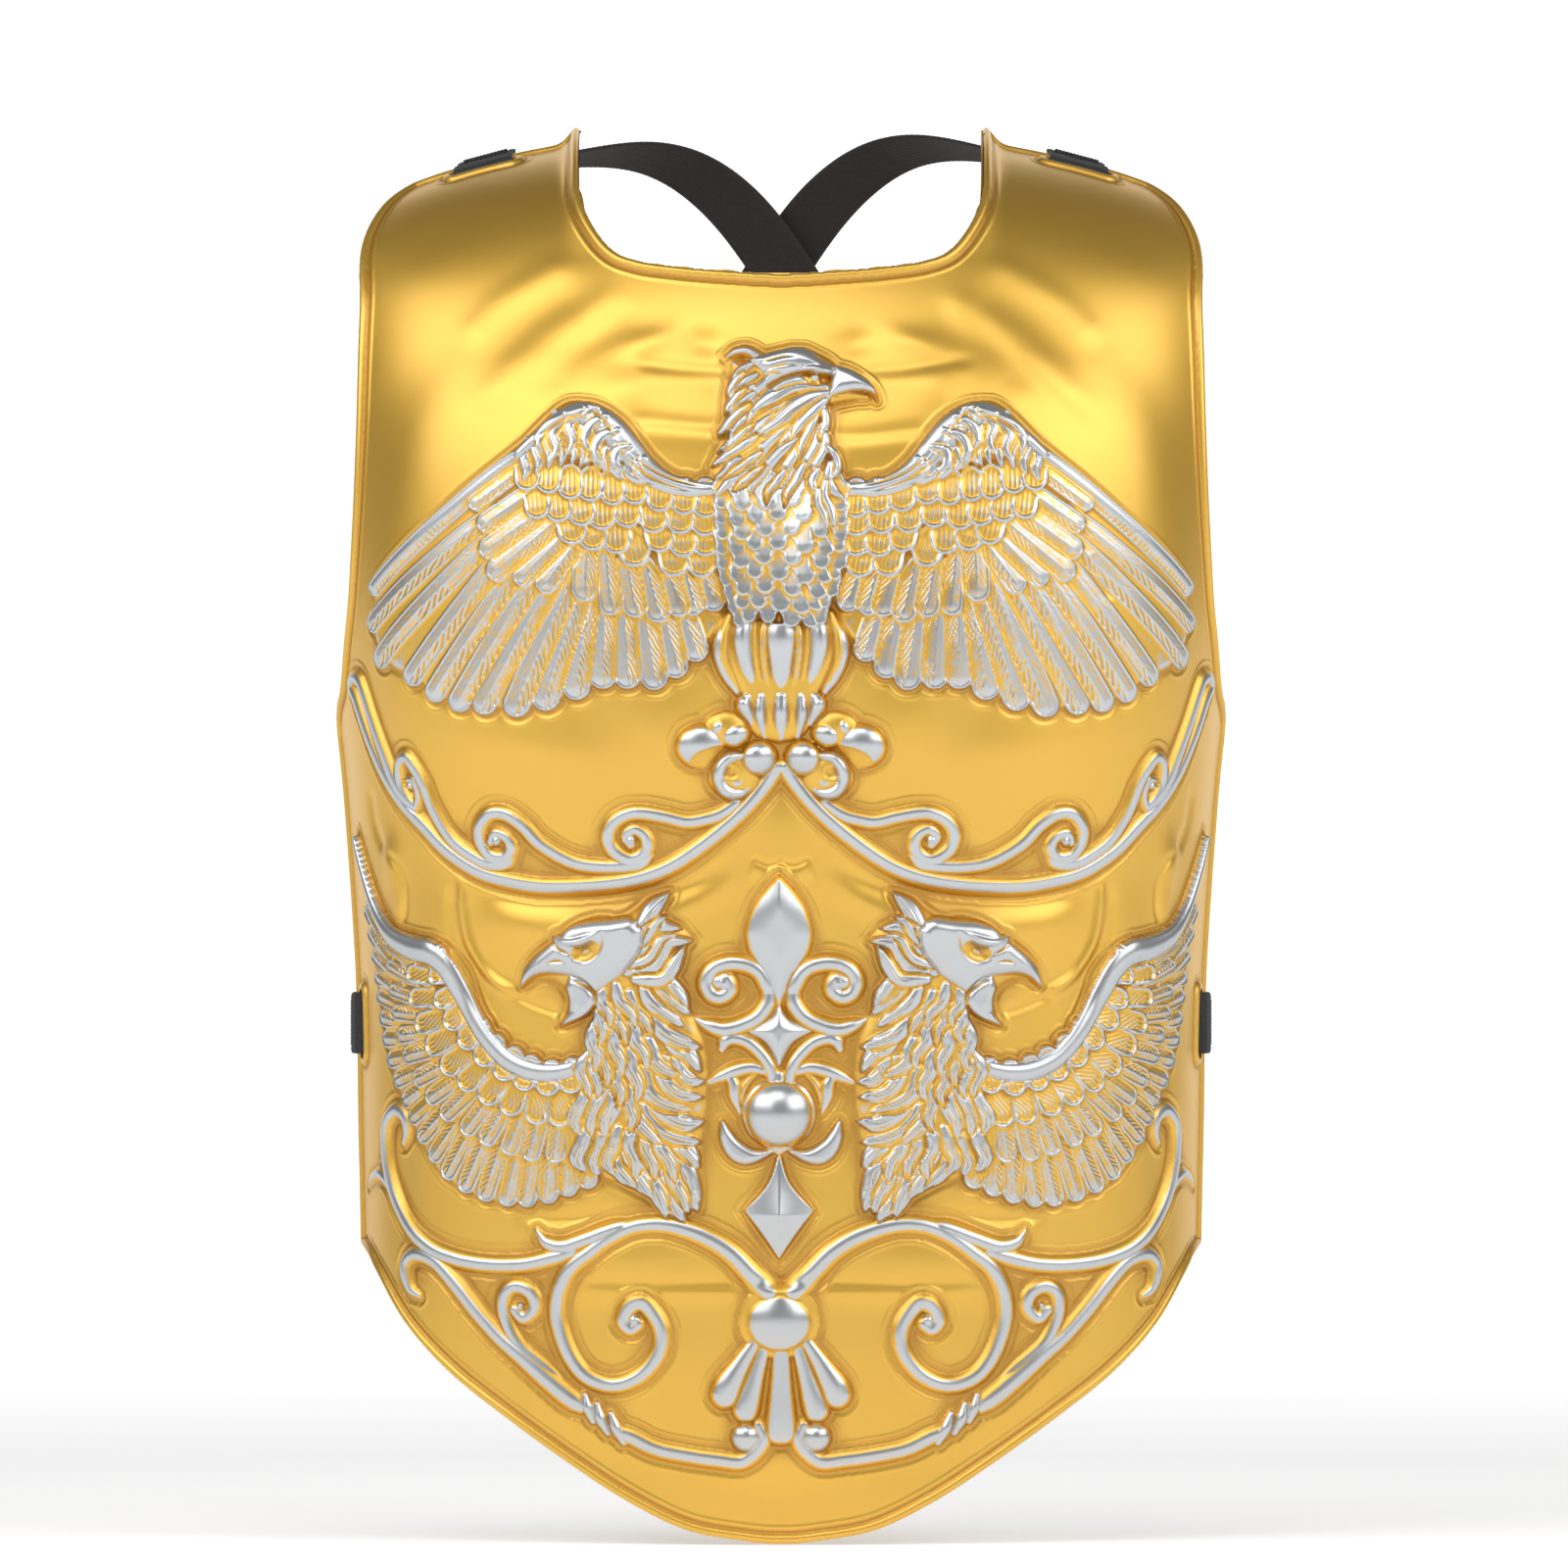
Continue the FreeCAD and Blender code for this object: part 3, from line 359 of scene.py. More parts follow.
def dome(centre, radii, height, owner, silverFrom=0.3, silverTo=0.6, power=0.6, turn=0.0, silver=1.0):
    window, crest = oval(centre, radii, turn)
    crest = crest ** power
    lift(window, height * crest, silver * smooth(silverFrom, silverTo, crest), owner)


def hollow(centre, radii, turn, depth):
    # Presses an oval into what is there and leaves its floor gold
    window, crest = oval(centre, radii, turn)
    crest = crest ** 0.7
    old = sheet.relief[window]
    sheet.relief[window] = np.maximum(old - depth * crest, 0.4 * (old > 0.4))
    sheet.silver[window] *= 1 - smooth(0.0, 0.35, crest)


def cutLine(points, reach, width, depth, wiped, blunt=0.0):
    # Scratches a line that fades at both ends. Wiped is how much silver it takes away.
    line = Near(curve(sheet.place(points), 1.0), reach)
    cut = np.exp(-(line.away / width) ** 2) * np.sin(np.pi * (blunt + (1 - 2 * blunt) * line.share))
    sheet.relief[line.at] -= depth * cut
    sheet.silver[line.at] *= 1 - wiped * cut


def ridgeBand(points, half, low, rise, power, owner):
    # A smooth silver ridge over feathers. The half width is in mm, and each point holds a share of it.
    band = Near(curve(sheet.place(points), 1.0), 7.0)
    size = band.values[0]
    crest = np.clip(1 - (band.away / (half * size)) ** 2, 0, 1) ** 0.6
    paint(band.at, smooth(0.0, 0.25, crest), low + rise * crest * size ** power, 1.0, owner)
    sheet.fine[band.at] *= 1 - smooth(0.1, 0.4, crest)


# Free edges: the neck and hem as seen from the front, and the side edge as seen from the side, in mm

edges = {
    "neck": [
        (-82.7, 27.3), (-82.0, 13.4), (-82.7, 0.6), (-80.0, -15.0), (-70.0, -29.5), (-58.5, -35.1),
        (-40.0, -37.9), (-20.8, -39.5), (0.0, -40.7), (20.8, -39.5),
    ],
    "hem": [
        (-180.8, -425.0), (-168.9, -440.0), (-164.7, -447.8), (-152.8, -467.9), (-134.8, -487.9),
        (-110.8, -506.9), (-86.9, -524.1), (-62.8, -539.7), (-38.7, -551.4), (-14.8, -555.9), (0.0, -557.0),
        (14.8, -555.9),
    ],
    "side": [
        (8.1, -2.2), (-14.0, -17.8), (-34.0, -40.1), (-45.0, -61.3), (-52.9, -95.8), (-54.6, -132.0),
        (-50.0, -168.2), (-41.0, -191.1), (-31.0, -207.2), (-19.0, -215.0), (-11.0, -223.9), (-10.0, -240.1),
        (-10.0, -300.2), (-10.0, -369.8), (-10.0, -450.1), (-10.0, -600.0),
    ],
    "shoulderBack": 8.1,
    "slotLength": 27.0, "slotOpening": 4.4,
    "shoulderSlot": (-122.0, -4.0), "sideSlot": (-22.0, -346.0),
    # the rolled bead, the groove behind it and a faint line inside: how far in, how high and how wide
    "beadReach": 12.0, "beadAt": 1.9, "beadHeight": 1.7, "beadHalf": 2.1,
    "grooveAt": 4.7, "grooveDepth": 0.25, "innerAt": 6.6, "innerHeight": 0.3, "lineWidth": 0.7,
}


def slotField(point, axes, longWay):
    # How far a place is outside a slot, measured along the sheet
    away = ((sheet.base[..., axes] - np.array(point)) ** 2).sum(-1)
    away[sheet.base[..., 0] > 0] = 1e9
    if axes == [1, 2]:
        away[sheet.base[..., 0] > -120] = 1e9
    else:
        away[sheet.base[..., 2] < -60] = 1e9
    row, column = np.unravel_index(np.argmin(away), away.shape)
    centre = sheet.base[row, column]
    acrossWay = sheet.base[row, column + 1] - sheet.base[row, column - 1]
    downWay = sheet.base[row + 1, column] - sheet.base[row - 1, column]
    acrossWay /= np.linalg.norm(acrossWay)
    downWay -= acrossWay * (downWay @ acrossWay)
    downWay /= np.linalg.norm(downWay)
    offset = sheet.base - centre
    ways = {"across": acrossWay, "down": downWay}
    longWays = abs(offset @ ways[longWay])
    shortWays = abs(offset @ ways["down" if longWay == "across" else "across"])
    half = edges["slotLength"] / 2
    opening = edges["slotOpening"] / 2
    corner = opening * 0.9
    one = np.maximum(longWays - half + corner, 0)
    other = np.maximum(shortWays - opening + corner, 0)
    outside = np.sqrt(one * one + other * other) - corner
    outside = np.maximum(outside, np.maximum(longWays - half, shortWays - opening))
    outside = np.where((offset ** 2).sum(-1) < 30 ** 2, outside, 30.0)
    return np.minimum(outside, outside[:, ::-1])


def regionField():
    x, y, z = sheet.base[..., 0], sheet.base[..., 1], sheet.base[..., 2]
    across = abs(x)
    neck = curve(edges["neck"], 0.5)
    neck[:, 0] = abs(neck[:, 0])
    upTo = np.argmin(neck[:, 0])
    neck = neck[:upTo + 1]
    heightAt = np.interp(across, neck[::-1, 0], neck[::-1, 1])
    widthAt = np.interp(z, neck[::-1, 1], neck[::-1, 0])
    widthAt = np.where(z < neck[-1, 1], -50, widthAt)
    field = np.maximum(across - widthAt, np.where(across > neck[:, 0].max(), 50, heightAt - z))
    hem = curve(edges["hem"], 0.5)
    hem = hem[:np.argmin(abs(hem[:, 0])) + 1]
    hem[:, 0] = abs(hem[:, 0])
    field = np.minimum(field, z - np.interp(across, hem[::-1, 0], hem[::-1, 1]))
    side = curve(edges["side"], 0.5)
    order = np.argsort(side[:, 1])
    reachAt = np.interp(z, side[order, 1], side[order, 0])
    sides = np.where(z > side[0, 1], edges["shoulderBack"] - y, reachAt - y)
    field = np.minimum(field, sides)
    field = np.where(sheet.real, field, -10.0)
    field = np.minimum(field, slotField(edges["shoulderSlot"], [0, 1], "across"))
    field = np.minimum(field, slotField(edges["sideSlot"], [1, 2], "down"))
    # A corner exactly on the edge would make empty faces
    return np.where(abs(field) < 1e-4, 1e-4, field)


sheet.region = regionField()
report("edges")


def crossings(field):
    # Short straight pieces of the line where a field is zero, as places on the sheet
    inside = (field > 0).astype(int)
    corner = inside[:-1, :-1] + inside[1:, :-1] + inside[:-1, 1:] + inside[1:, 1:]
    rows, columns = np.nonzero((corner > 0) & (corner < 4))
    pieces = []
    corners = ((0, 0), (1, 0), (1, 1), (0, 1))
    for row, column in zip(rows, columns):
        ends = []
        for index in range(4):
            one = corners[index]
            other = corners[(index + 1) % 4]
            start = field[row + one[0], column + one[1]]
            end = field[row + other[0], column + other[1]]
            if (start > 0) != (end > 0):
                share = start / (start - end)
                across = column + one[1] + (other[1] - one[1]) * share
                ends.append((across, row + one[0] + (other[0] - one[0]) * share))
        pieces += zip(ends[::2], ends[1::2])
    return np.array(pieces)


def distanceTo(pieces, reach, inSpace=False):
    # Distance of every grid place from the pieces of a line, up to reach
    away = np.full(sheet.region.shape, float(reach) ** 2)
    step = grid["step"]
    margin = int(reach / step * 1.6) + 2
    height, width = away.shape
    for start, end in pieces:
        c0 = max(0, int(min(start[0], end[0])) - margin)
        c1 = min(width, int(max(start[0], end[0])) + margin + 2)
        r0 = max(0, int(min(start[1], end[1])) - margin)
        r1 = min(height, int(max(start[1], end[1])) + margin + 2)
        part = (slice(r0, r1), slice(c0, c1))
        if inSpace:
            offset = sheet.base[part] - spot(start)
            square = (offset * offset).sum(-1)
        else:
            da = (np.arange(c0, c1)[None] - start[0]) * step
            db = (np.arange(r0, r1)[:, None] - start[1]) * step
            square = da * da + db * db
        away[part] = np.minimum(away[part], square)
    return np.sqrt(away)


def spot(place):
    # The point in space at a place between four grid corners
    base = sheet.base
    column, row = int(place[0]), int(place[1])
    across, down = place[0] - column, place[1] - row
    nextColumn = min(column + 1, base.shape[1] - 1)
    nextRow = min(row + 1, base.shape[0] - 1)
    top = base[row, column] * (1 - across) + base[row, nextColumn] * across
    low = base[nextRow, column] * (1 - across) + base[nextRow, nextColumn] * across
    return top * (1 - down) + low * down


sheet.edgeAway = distanceTo(crossings(sheet.region), edges["beadReach"], inSpace=True)
report("distance to the edges")


# Muscles, folds and dents: places in pixels, sizes and heights in mm. Each half has the first lists.

forms = {
    "pec": [
        (400, 520), (384, 620), (392, 720), (432, 812), (500, 868), (590, 890), (680, 872), (745, 822),
        (785, 740), (790, 600), (770, 470), (700, 400), (560, 360), (440, 400),
    ],
    "pecHeight": 3.4, "belowHeight": -1.6, "blur": 13.0,
    "mounds": [
        ((600, 470), (46, 40), 1.6, 0), ((545, 762), (34, 15), 2.2, 12), ((672, 742), (18, 18), 1.5, 0),
        ((398, 884), (7, 11), 1.7, 0), ((404, 925), (6, 10), 1.3, 0), ((450, 950), (12, 22), 1.2, 0),
        ((560, 960), (34, 12), 1.3, 0), ((665, 950), (14, 20), 0.7, 0), ((484, 1010), (9, 16), -1.2, 20),
        ((640, 1292), (34, 12), 1.4, 0), ((640, 1330), (50, 14), -0.9, 0), ((430, 1330), (18, 30), 0.9, -30),
        ((690, 1500), (60, 10), -0.7, 12), ((440, 240), (26, 20), -0.9, 0), ((660, 352), (13, 6), 1.0, -15),
        ((722, 352), (9, 6), -0.9, 20), ((640, 400), (10, 9), 0.7, 0), ((410, 1180), (8, 40), -1.0, 0),
    ],
    "folds": [
        ([(476, 903), (520, 912), (580, 917), (650, 915), (710, 900), (752, 872)], 5.5, -1.9),
        ([(480, 930), (540, 944), (610, 946), (670, 934), (720, 908), (770, 880)], 7.0, 1.0),
        ([(566, 1304), (650, 1309), (720, 1308), (797, 1307)], 2.8, -0.6),
        ([(584, 1313), (650, 1316), (720, 1316), (797, 1315)], 3.4, 0.8),
        ([(467, 890), (470, 910), (473, 935), (479, 962), (494, 990), (512, 1006), (538, 1016)], 2.3, 1.5),
        ([(458, 900), (461, 925), (466, 955), (478, 985), (496, 1006)], 2.6, -0.8),
        ([(516, 1010), (545, 1024), (572, 1032), (600, 1030)], 2.0, -0.7),
        ([(766, 874), (782, 882), (797, 880)], 1.6, -0.6),
        ([(764, 884), (782, 892), (797, 892)], 4.0, 0.6),
        ([(392, 868), (402, 880), (410, 900), (412, 925), (408, 950)], 1.7, -0.8),
        ([(372, 800), (378, 840), (390, 872)], 3.0, -0.8),
        ([(640, 292), (600, 322), (560, 348), (520, 390), (490, 430)], 8.0, 0.7),
        ([(612, 286), (570, 310), (530, 340), (490, 386), (462, 420)], 9.0, -0.35),
        ([(592, 262), (550, 286), (506, 316), (466, 356)], 7.5, 0.7),
        ([(650, 306), (616, 342), (580, 374), (552, 412)], 7.0, -0.4),
        ([(520, 1236), (560, 1241), (600, 1240), (640, 1234)], 3.0, -0.9),
        ([(797, 420), (797, 560), (797, 700), (797, 800)], 12.0, -0.9),
    ],
    "leftOnly": [
        ([(640, 430), (700, 436), (760, 439)], 3.0, -0.4), ([(640, 446), (700, 450), (760, 452)], 4.5, 0.4),
        ([(640, 372), (690, 379), (760, 381)], 3.0, -0.4), ([(650, 388), (700, 392), (760, 394)], 5.0, 0.3),
    ],
    "rightOnly": [
        ([(830, 446), (880, 448), (950, 440)], 3.0, -0.4), ([(830, 458), (880, 460), (950, 454)], 4.5, 0.4),
        ([(870, 381), (920, 380), (1000, 368)], 3.0, -0.4), ([(870, 392), (930, 392), (1000, 382)], 5.0, 0.3),
        ([(1104, 570), (1120, 590), (1130, 614)], 3.6, -0.8),
        ([(975, 310), (1010, 350), (1060, 400), (1124, 462)], 6.0, -0.5),
    ],
    "flare": 6.2, "flareWidth": 5.5, "flareRise": (-34.0, 10.0),
    "belowFrom": (300.0, 380.0), "belowTo": (520.0, 440.0),
}


def insideOf(outline, at):
    # Which grid places lie inside a closed outline, by counting crossings
    a = sheet.a[at[1]]
    b = sheet.b[at[0]]
    inside = np.zeros((len(b), len(a)), bool)
    for index in range(len(outline)):
        one = outline[index - 1]
        other = outline[index]
        if one[1] == other[1]:
            continue
        rows = np.nonzero((b >= min(one[1], other[1])) & (b < max(one[1], other[1])))[0]
        for row in rows:
            cross = one[0] + (other[0] - one[0]) * (b[row] - one[1]) / (other[1] - one[1])
            inside[row] ^= a < cross
    return inside


def mound(centre, radii, height, turn=0.0):
    place = sheet.place([centre])[0]
    reach = 2.6 * max(radii)
    at = sheet.window(place - reach, place + reach)
    a = (sheet.a[at[1]][None] - place[0]) * sheet.side
    b = sheet.b[at[0]][:, None] - place[1]
    angle = math.radians(turn)
    one = (a * math.cos(angle) + b * math.sin(angle)) / radii[0]
    other = (b * math.cos(angle) - a * math.sin(angle)) / radii[1]
    sheet.form[at] += height * np.exp(-one ** 2 - other ** 2)


def fold(points, width, height):
    line = Near(curve(sheet.place(points), 1.5), 2.8 * width)
    ends = smooth(0, 0.2, line.share) * smooth(1, 0.8, line.share)
    if points[-1][0] == picture["centreX"]:
        ends = smooth(0, 0.2, line.share)
    sheet.form[line.at] += height * np.exp(-(line.away / width) ** 2) * ends


def halfForm():
    for each in forms["mounds"]:
        mound(*each)
    for each in forms["folds"]:
        fold(*each)
    outline = curve(sheet.place(forms["pec"] + forms["pec"][:1]), 3.0)
    at = sheet.window(outline.min(0) - 2, outline.max(0) + 2)
    mask = np.zeros(sheet.region.shape)
    mask[at] = insideOf(outline, at)
    mask = blurred(mask, int(forms["blur"] / grid["step"]))
    sheet.form += forms["pecHeight"] * mask


def neckFlare():
    # The sheet turns up along the neck where the shoulders start
    x, z = sheet.base[..., 0], sheet.base[..., 2]
    away = abs(x) - 82.4
    near = np.exp(-(np.maximum(away, 0) / forms["flareWidth"]) ** 2) * smooth(*forms["flareRise"], z)
    sheet.form += forms["flare"] * near * (abs(x) < 140)


bothSides(halfForm)
for each in forms["leftOnly"] + forms["rightOnly"]:
    fold(*each)
neckFlare()
below = smooth(*forms["belowFrom"], sheet.b[:, None]) * smooth(*forms["belowTo"], sheet.b[:, None])
sheet.form += forms["belowHeight"] * below
report("form")


# Scrollwork: the chest scroll, the belly scroll with its branch, and the hem scroll. Left half, in pixels.
# A third number is a share of the stroke's width and height.

rod = {"width": 8.2, "height": 2.5}

chestScroll = {
    "rod": [
        (793, 784), (781, 802), (759, 827), (732, 851), (698, 876), (671, 890), (640, 899), (600, 904),
        (554, 905), (517, 899), (487, 888), (456, 867), (432, 842), (410, 818), (392, 790), (380, 763),
        (371, 738), (364, 715), (359, 701), (361, 692), (367, 694), (372, 706), (381, 736), (392, 769),
        (401, 793), (412, 812), (424, 824, 0.8),
    ],
    "waves": [
        [
            (753, 819, 0.75), (735, 831), (718, 836), (701, 838), (680, 833), (658, 829), (643, 830),
            (629, 838), (622, 852), (627, 867), (641, 876), (654, 874), (662, 864), (659, 852, 0.85),
            (648, 846, 0.8), (640, 853, 0.75), (645, 861, 0.7),
        ],
        [
            (664, 872, 0.6), (656, 881, 0.85), (643, 883), (615, 884), (585, 879), (554, 861), (536, 842),
            (518, 830), (502, 831), (492, 845), (493, 860), (502, 873), (516, 875), (524, 866),
            (520, 855, 0.8),
            (508, 850, 0.75), (503, 859, 0.7),
        ],
        [
            (525, 872, 0.6), (519, 881, 0.8), (503, 882), (487, 876), (462, 857), (444, 827), (435, 802),
            (426, 784), (417, 773), (409, 780), (409, 799), (416, 815), (424, 822, 0.8), (428, 812, 0.7),
            (424, 797, 0.65), (418, 796, 0.6),
        ],
    ],
    "loop": [(367, 734, 0.5), (362, 720, 0.6), (362, 706, 0.5)],
    "balls": [(645, 857, 5.5), (509, 858, 5.5), (420, 802, 4.5)],
}
bellyScroll = {
    "main": [
        (784, 1316, 1.35), (767, 1298, 1.3), (745, 1275, 1.25), (716, 1258, 1.15), (681, 1248), (650, 1249),
        (624, 1260), (604, 1275), (584, 1292), (572, 1315), (569, 1338), (574, 1361), (584, 1384),
        (598, 1401),
        (618, 1410), (638, 1409), (658, 1398), (673, 1378), (676, 1358), (669, 1341), (656, 1328),
        (643, 1332),
        (637, 1346, 0.95), (644, 1354, 0.85), (652, 1349, 0.8),
    ],
    "leaf": [(640, 1250, 0.9), (627, 1252), (598, 1263), (576, 1270), (559, 1266, 0.8), (549, 1254, 0.2)],
    "balls": [(648, 1345, 6)],
}
sideBranch = {
    "main": [
        (586, 1275, 0.8), (567, 1281), (538, 1288), (503, 1289), (469, 1284), (440, 1272), (417, 1249),
        (403, 1220), (396, 1189), (394, 1160), (396, 1143), (404, 1133), (413, 1140), (415, 1155, 0.85),
        (411, 1166, 0.5),
    ],
    "hook": [(404, 1226, 0.6), (396, 1207, 0.8), (387, 1198, 0.8), (379, 1204, 0.6), (376, 1212, 0.3)],
}
hemScroll = {
    "start": [
        (430, 1322, 0.35), (421, 1315, 0.7), (416, 1300), (416, 1288), (424, 1280), (436, 1281), (449, 1289),
        (466, 1309), (486, 1335), (509, 1361), (532, 1381, 1.1), (561, 1407, 1.2), (584, 1426, 1.2),
        (594, 1433, 0.9),
    ],
    "end": [
        (632, 1459, 0.9), (645, 1464), (670, 1476), (704, 1483), (733, 1487), (756, 1489), (770, 1480),
        (779, 1466, 0.95), (774, 1452, 0.7),
    ],
    "stem": [
        (572, 1405, 0.4), (556, 1392, 0.7), (532, 1372, 0.8), (521, 1355, 0.85), (515, 1335, 0.9),
        (517, 1318, 0.9), (529, 1311, 0.9), (543, 1318, 0.9), (547, 1332, 0.9), (536, 1343, 0.85),
        (526, 1335, 0.75),
    ],
    "balls": [(532, 1331, 4), (761, 1464, 15.5)],
    "coils": [
        [(598, 1421, 0.6), (601, 1434, 1.05), (606, 1448, 0.6)],
        [(610, 1430, 0.6), (614, 1445, 1.1), (621, 1460, 0.6)],
        [(624, 1440, 0.6), (630, 1455, 1.1), (637, 1470, 0.6)],
    ],
}


def scrollSide():
    lines = [
        ("chest_scroll", chestScroll["waves"], 0.88), ("chest_scroll", [chestScroll["loop"]], 0.8),
        ("chest_scroll", [chestScroll["rod"]], 1.0), ("side_branch", [sideBranch["hook"]], 0.9),
        ("side_branch", [sideBranch["main"]], 1.0), ("belly_scroll", [bellyScroll["leaf"]], 1.0),
        ("belly_scroll", [bellyScroll["main"]], 1.0), ("hem_scroll", [hemScroll["stem"]], 1.0),
        ("hem_scroll", [hemScroll["start"], hemScroll["end"]], 1.0),
    ]
    for name, strokes, size in lines:
        for points in strokes:
            stroke(points, rod["width"] * size, rod["height"] * size, ownerOf(sideName(name)))
    scrolls = {"chest_scroll": chestScroll, "belly_scroll": bellyScroll, "hem_scroll": hemScroll}
    for name, scroll in scrolls.items():
        for x, y, radius in scroll["balls"]:
            dome((x, y), (radius, radius), 0.26 * radius + 0.9, ownerOf(sideName(name)))
    for points in hemScroll["coils"]:
        stroke(points, 5.6, 3.3, ownerOf(sideName("hem_scroll")), silverFrom=0.45, silverTo=0.7)


bothSides(scrollSide)
report("scrollwork")


# Centre column: fleur-de-lis, star, ball, crescents and the four-sided kite

def outlined(runs, spacing=0.8):
    # A closed line from smooth runs that meet at corners, in pixels
    return np.vstack([curve(sheet.place(run), spacing)[:-1] for run in runs])


def edgeDepth(outline, at):
    # Distance of every place of a window to a closed outline, positive inside
    closed = np.vstack([outline, outline[:1]])
    a = sheet.a[at[1]]
    b = sheet.b[at[0]]
    best = np.full((len(b), len(a)), 1e6)
    for one, other in zip(closed[:-1], closed[1:]):
        way = other[:2] - one[:2]
        length = max(way @ way, 1e-9)
        da = a[None] - one[0]
        db = b[:, None] - one[1]
        share = np.clip((da * way[0] + db * way[1]) / length, 0, 1)
        best = np.minimum(best, (da - share * way[0]) ** 2 + (db - share * way[1]) ** 2)
    return np.where(insideOf(outline, at), 1, -1) * np.sqrt(best)


def depthWithin(runs):
    # The window round a closed line of runs, and how deep inside it each place lies
    outline = outlined(runs)
    at = sheet.window(outline[:, :2].min(0) - 3, outline[:, :2].max(0) + 3)
    return at, edgeDepth(outline, at)


def swell(
    runs, height, owner, steep=2.0, power=0.6, silverFrom=0.35, silverTo=0.6, silver=1.0, ridge=0.0,
    flank=1.2,
):
    # A rounded form inside an outline: it rises from the edge within so many mm and may keep a centre ridge
    at, depth = depthWithin(runs)
    rise = np.clip((depth + flank) / steep, 0, 1)
    crest = (1 - (1 - rise) ** 2) ** power
    form = height * crest
    if ridge:
        middle = abs(sheet.a[at[1]][None] - sheet.place([(picture["ornamentX"], 1000)])[0, 0])
        form = form + ridge * crest * np.clip(1 - middle / 9.0, 0, 1)
    lift(at, form, silver * smooth(silverFrom, silverTo, crest), owner)


def plate(runs, base, height, steep, owner):
    # A smooth silver form laid over feathers or hair, for beaks and brows
    at, depth = depthWithin(runs)
    crest = 1 - (1 - np.clip((depth + 0.5) / steep, 0, 1)) ** 2
    paint(at, smooth(-0.7, 0.2, depth), base + (height - base) * crest, smooth(-0.2, 0.5, depth), owner)
    sheet.fine[at] *= 1 - smooth(-0.4, 0.1, depth)


def mirroredRuns(runs):
    # Left runs and their right images, as one closed line
    middle = picture["ornamentX"]
    return runs + [[(2 * middle - x, y) for x, y in run[::-1]] for run in runs[::-1]]


fleur = {
    "petal": [
        [
            (795, 896), (783, 909), (771, 927), (764, 948), (766, 966), (774, 982), (784, 996), (789, 1010),
            (795, 1024),
        ],
    ],
    "scroll": [
        (787, 1016, 0.7), (783, 1005), (776, 992), (763, 984), (744, 982), (728, 988), (721, 1001),
        (726, 1013),
        (736, 1016), (745, 1009), (742, 999), (734, 1001),
    ],
    "lower": [
        (784, 1008, 0.8), (784, 1022), (774, 1036), (757, 1045), (739, 1049), (723, 1045, 0.8),
        (711, 1039, 0.25),
    ],
    "star": [[(795, 1025), (787, 1039), (764, 1051)], [(764, 1051), (782, 1062), (795, 1085)]],
    "arm": [
        (789, 1102, 0.8), (785, 1086), (776, 1073), (763, 1062), (749, 1058), (741, 1061, 1.1),
        (737, 1069, 0.6),
    ],
    "leaf": [(785, 1093, 0.6), (768, 1088, 0.9), (751, 1091), (736, 1097, 0.8), (724, 1103, 0.3)],
    "claw": [(744, 1095, 0.7), (749, 1105), (750, 1118, 0.9), (755, 1133, 0.3)],
    "inner": [(772, 1094, 0.4), (762, 1104, 0.7), (757, 1117, 0.6), (757, 1128, 0.2)],
    "crescent": [
        [(738, 1143), (737, 1160), (744, 1176), (757, 1184), (772, 1182), (787, 1173)],
        [(787, 1173), (770, 1173), (755, 1165), (746, 1155), (738, 1143)],
    ],
    "kite": [[(795, 1174), (783, 1205), (760, 1233)], [(760, 1233), (778, 1258), (795, 1282)]],
    "kiteCorners": [(795, 1174), (795, 1237), (795, 1282), (760, 1237)],  # top, middle, bottom, side
    # domes: centre, radii, height
    "knob": ((738, 1002), (8, 8), 3.6),
    "ball": ((795, 1135), (35, 35), 8.6),
    # under the ball
    "neck": [(795, 1096, 0.7), (795, 1115)],
    "seat": [[(795, 1101), (772, 1108), (760, 1130), (765, 1152), (780, 1165), (795, 1175)]],
}


def fleurSide():
    scroll = ownerOf(sideName("fleur_scroll"))
    arm = ownerOf(sideName("star_arm"))
    stroke(fleur["leaf"], 7.2, 2.2, arm)
    stroke(fleur["inner"], 5.0, 1.6, arm, silver=0.4)
    stroke(fleur["claw"], 6.4, 2.2, arm)
    stroke(fleur["arm"], 7.0, 2.6, arm)
    swell(fleur["crescent"], 3.0, ownerOf(sideName("crescent")), steep=3.4)
    stroke(fleur["lower"], 8.6, 3.0, scroll)
    stroke(fleur["scroll"], 8.6, 3.2, scroll)
    dome(*fleur["knob"], scroll)


def kiteForm():
    # Four flat faces that rise to a point, with hollow sides
    at, depth = depthWithin(mirroredRuns(fleur["kite"]))
    top, middle, bottom, side = sheet.place(fleur["kiteCorners"])
    a = sheet.a[at[1]][None]
    b = sheet.b[at[0]][:, None]
    halfWidth = abs(side[0] - middle[0])
    upper = (b - top[1]) / (middle[1] - top[1])
    lower = (bottom[1] - b) / (bottom[1] - middle[1])
    inward = 1 - abs(a - middle[0]) / halfWidth
    slope = np.clip(np.minimum(upper, lower), 0, 1)
    height = 1.2 + 5.6 * np.clip(inward, 0, 1) * slope
    height = np.minimum(height, np.clip(depth + 0.5, 0, 9) * 3.0)
    height = np.where(depth > -0.5, height, 0)
    lift(at, height, smooth(0.0, 0.5, depth), ownerOf("kite"), blend=0.2)


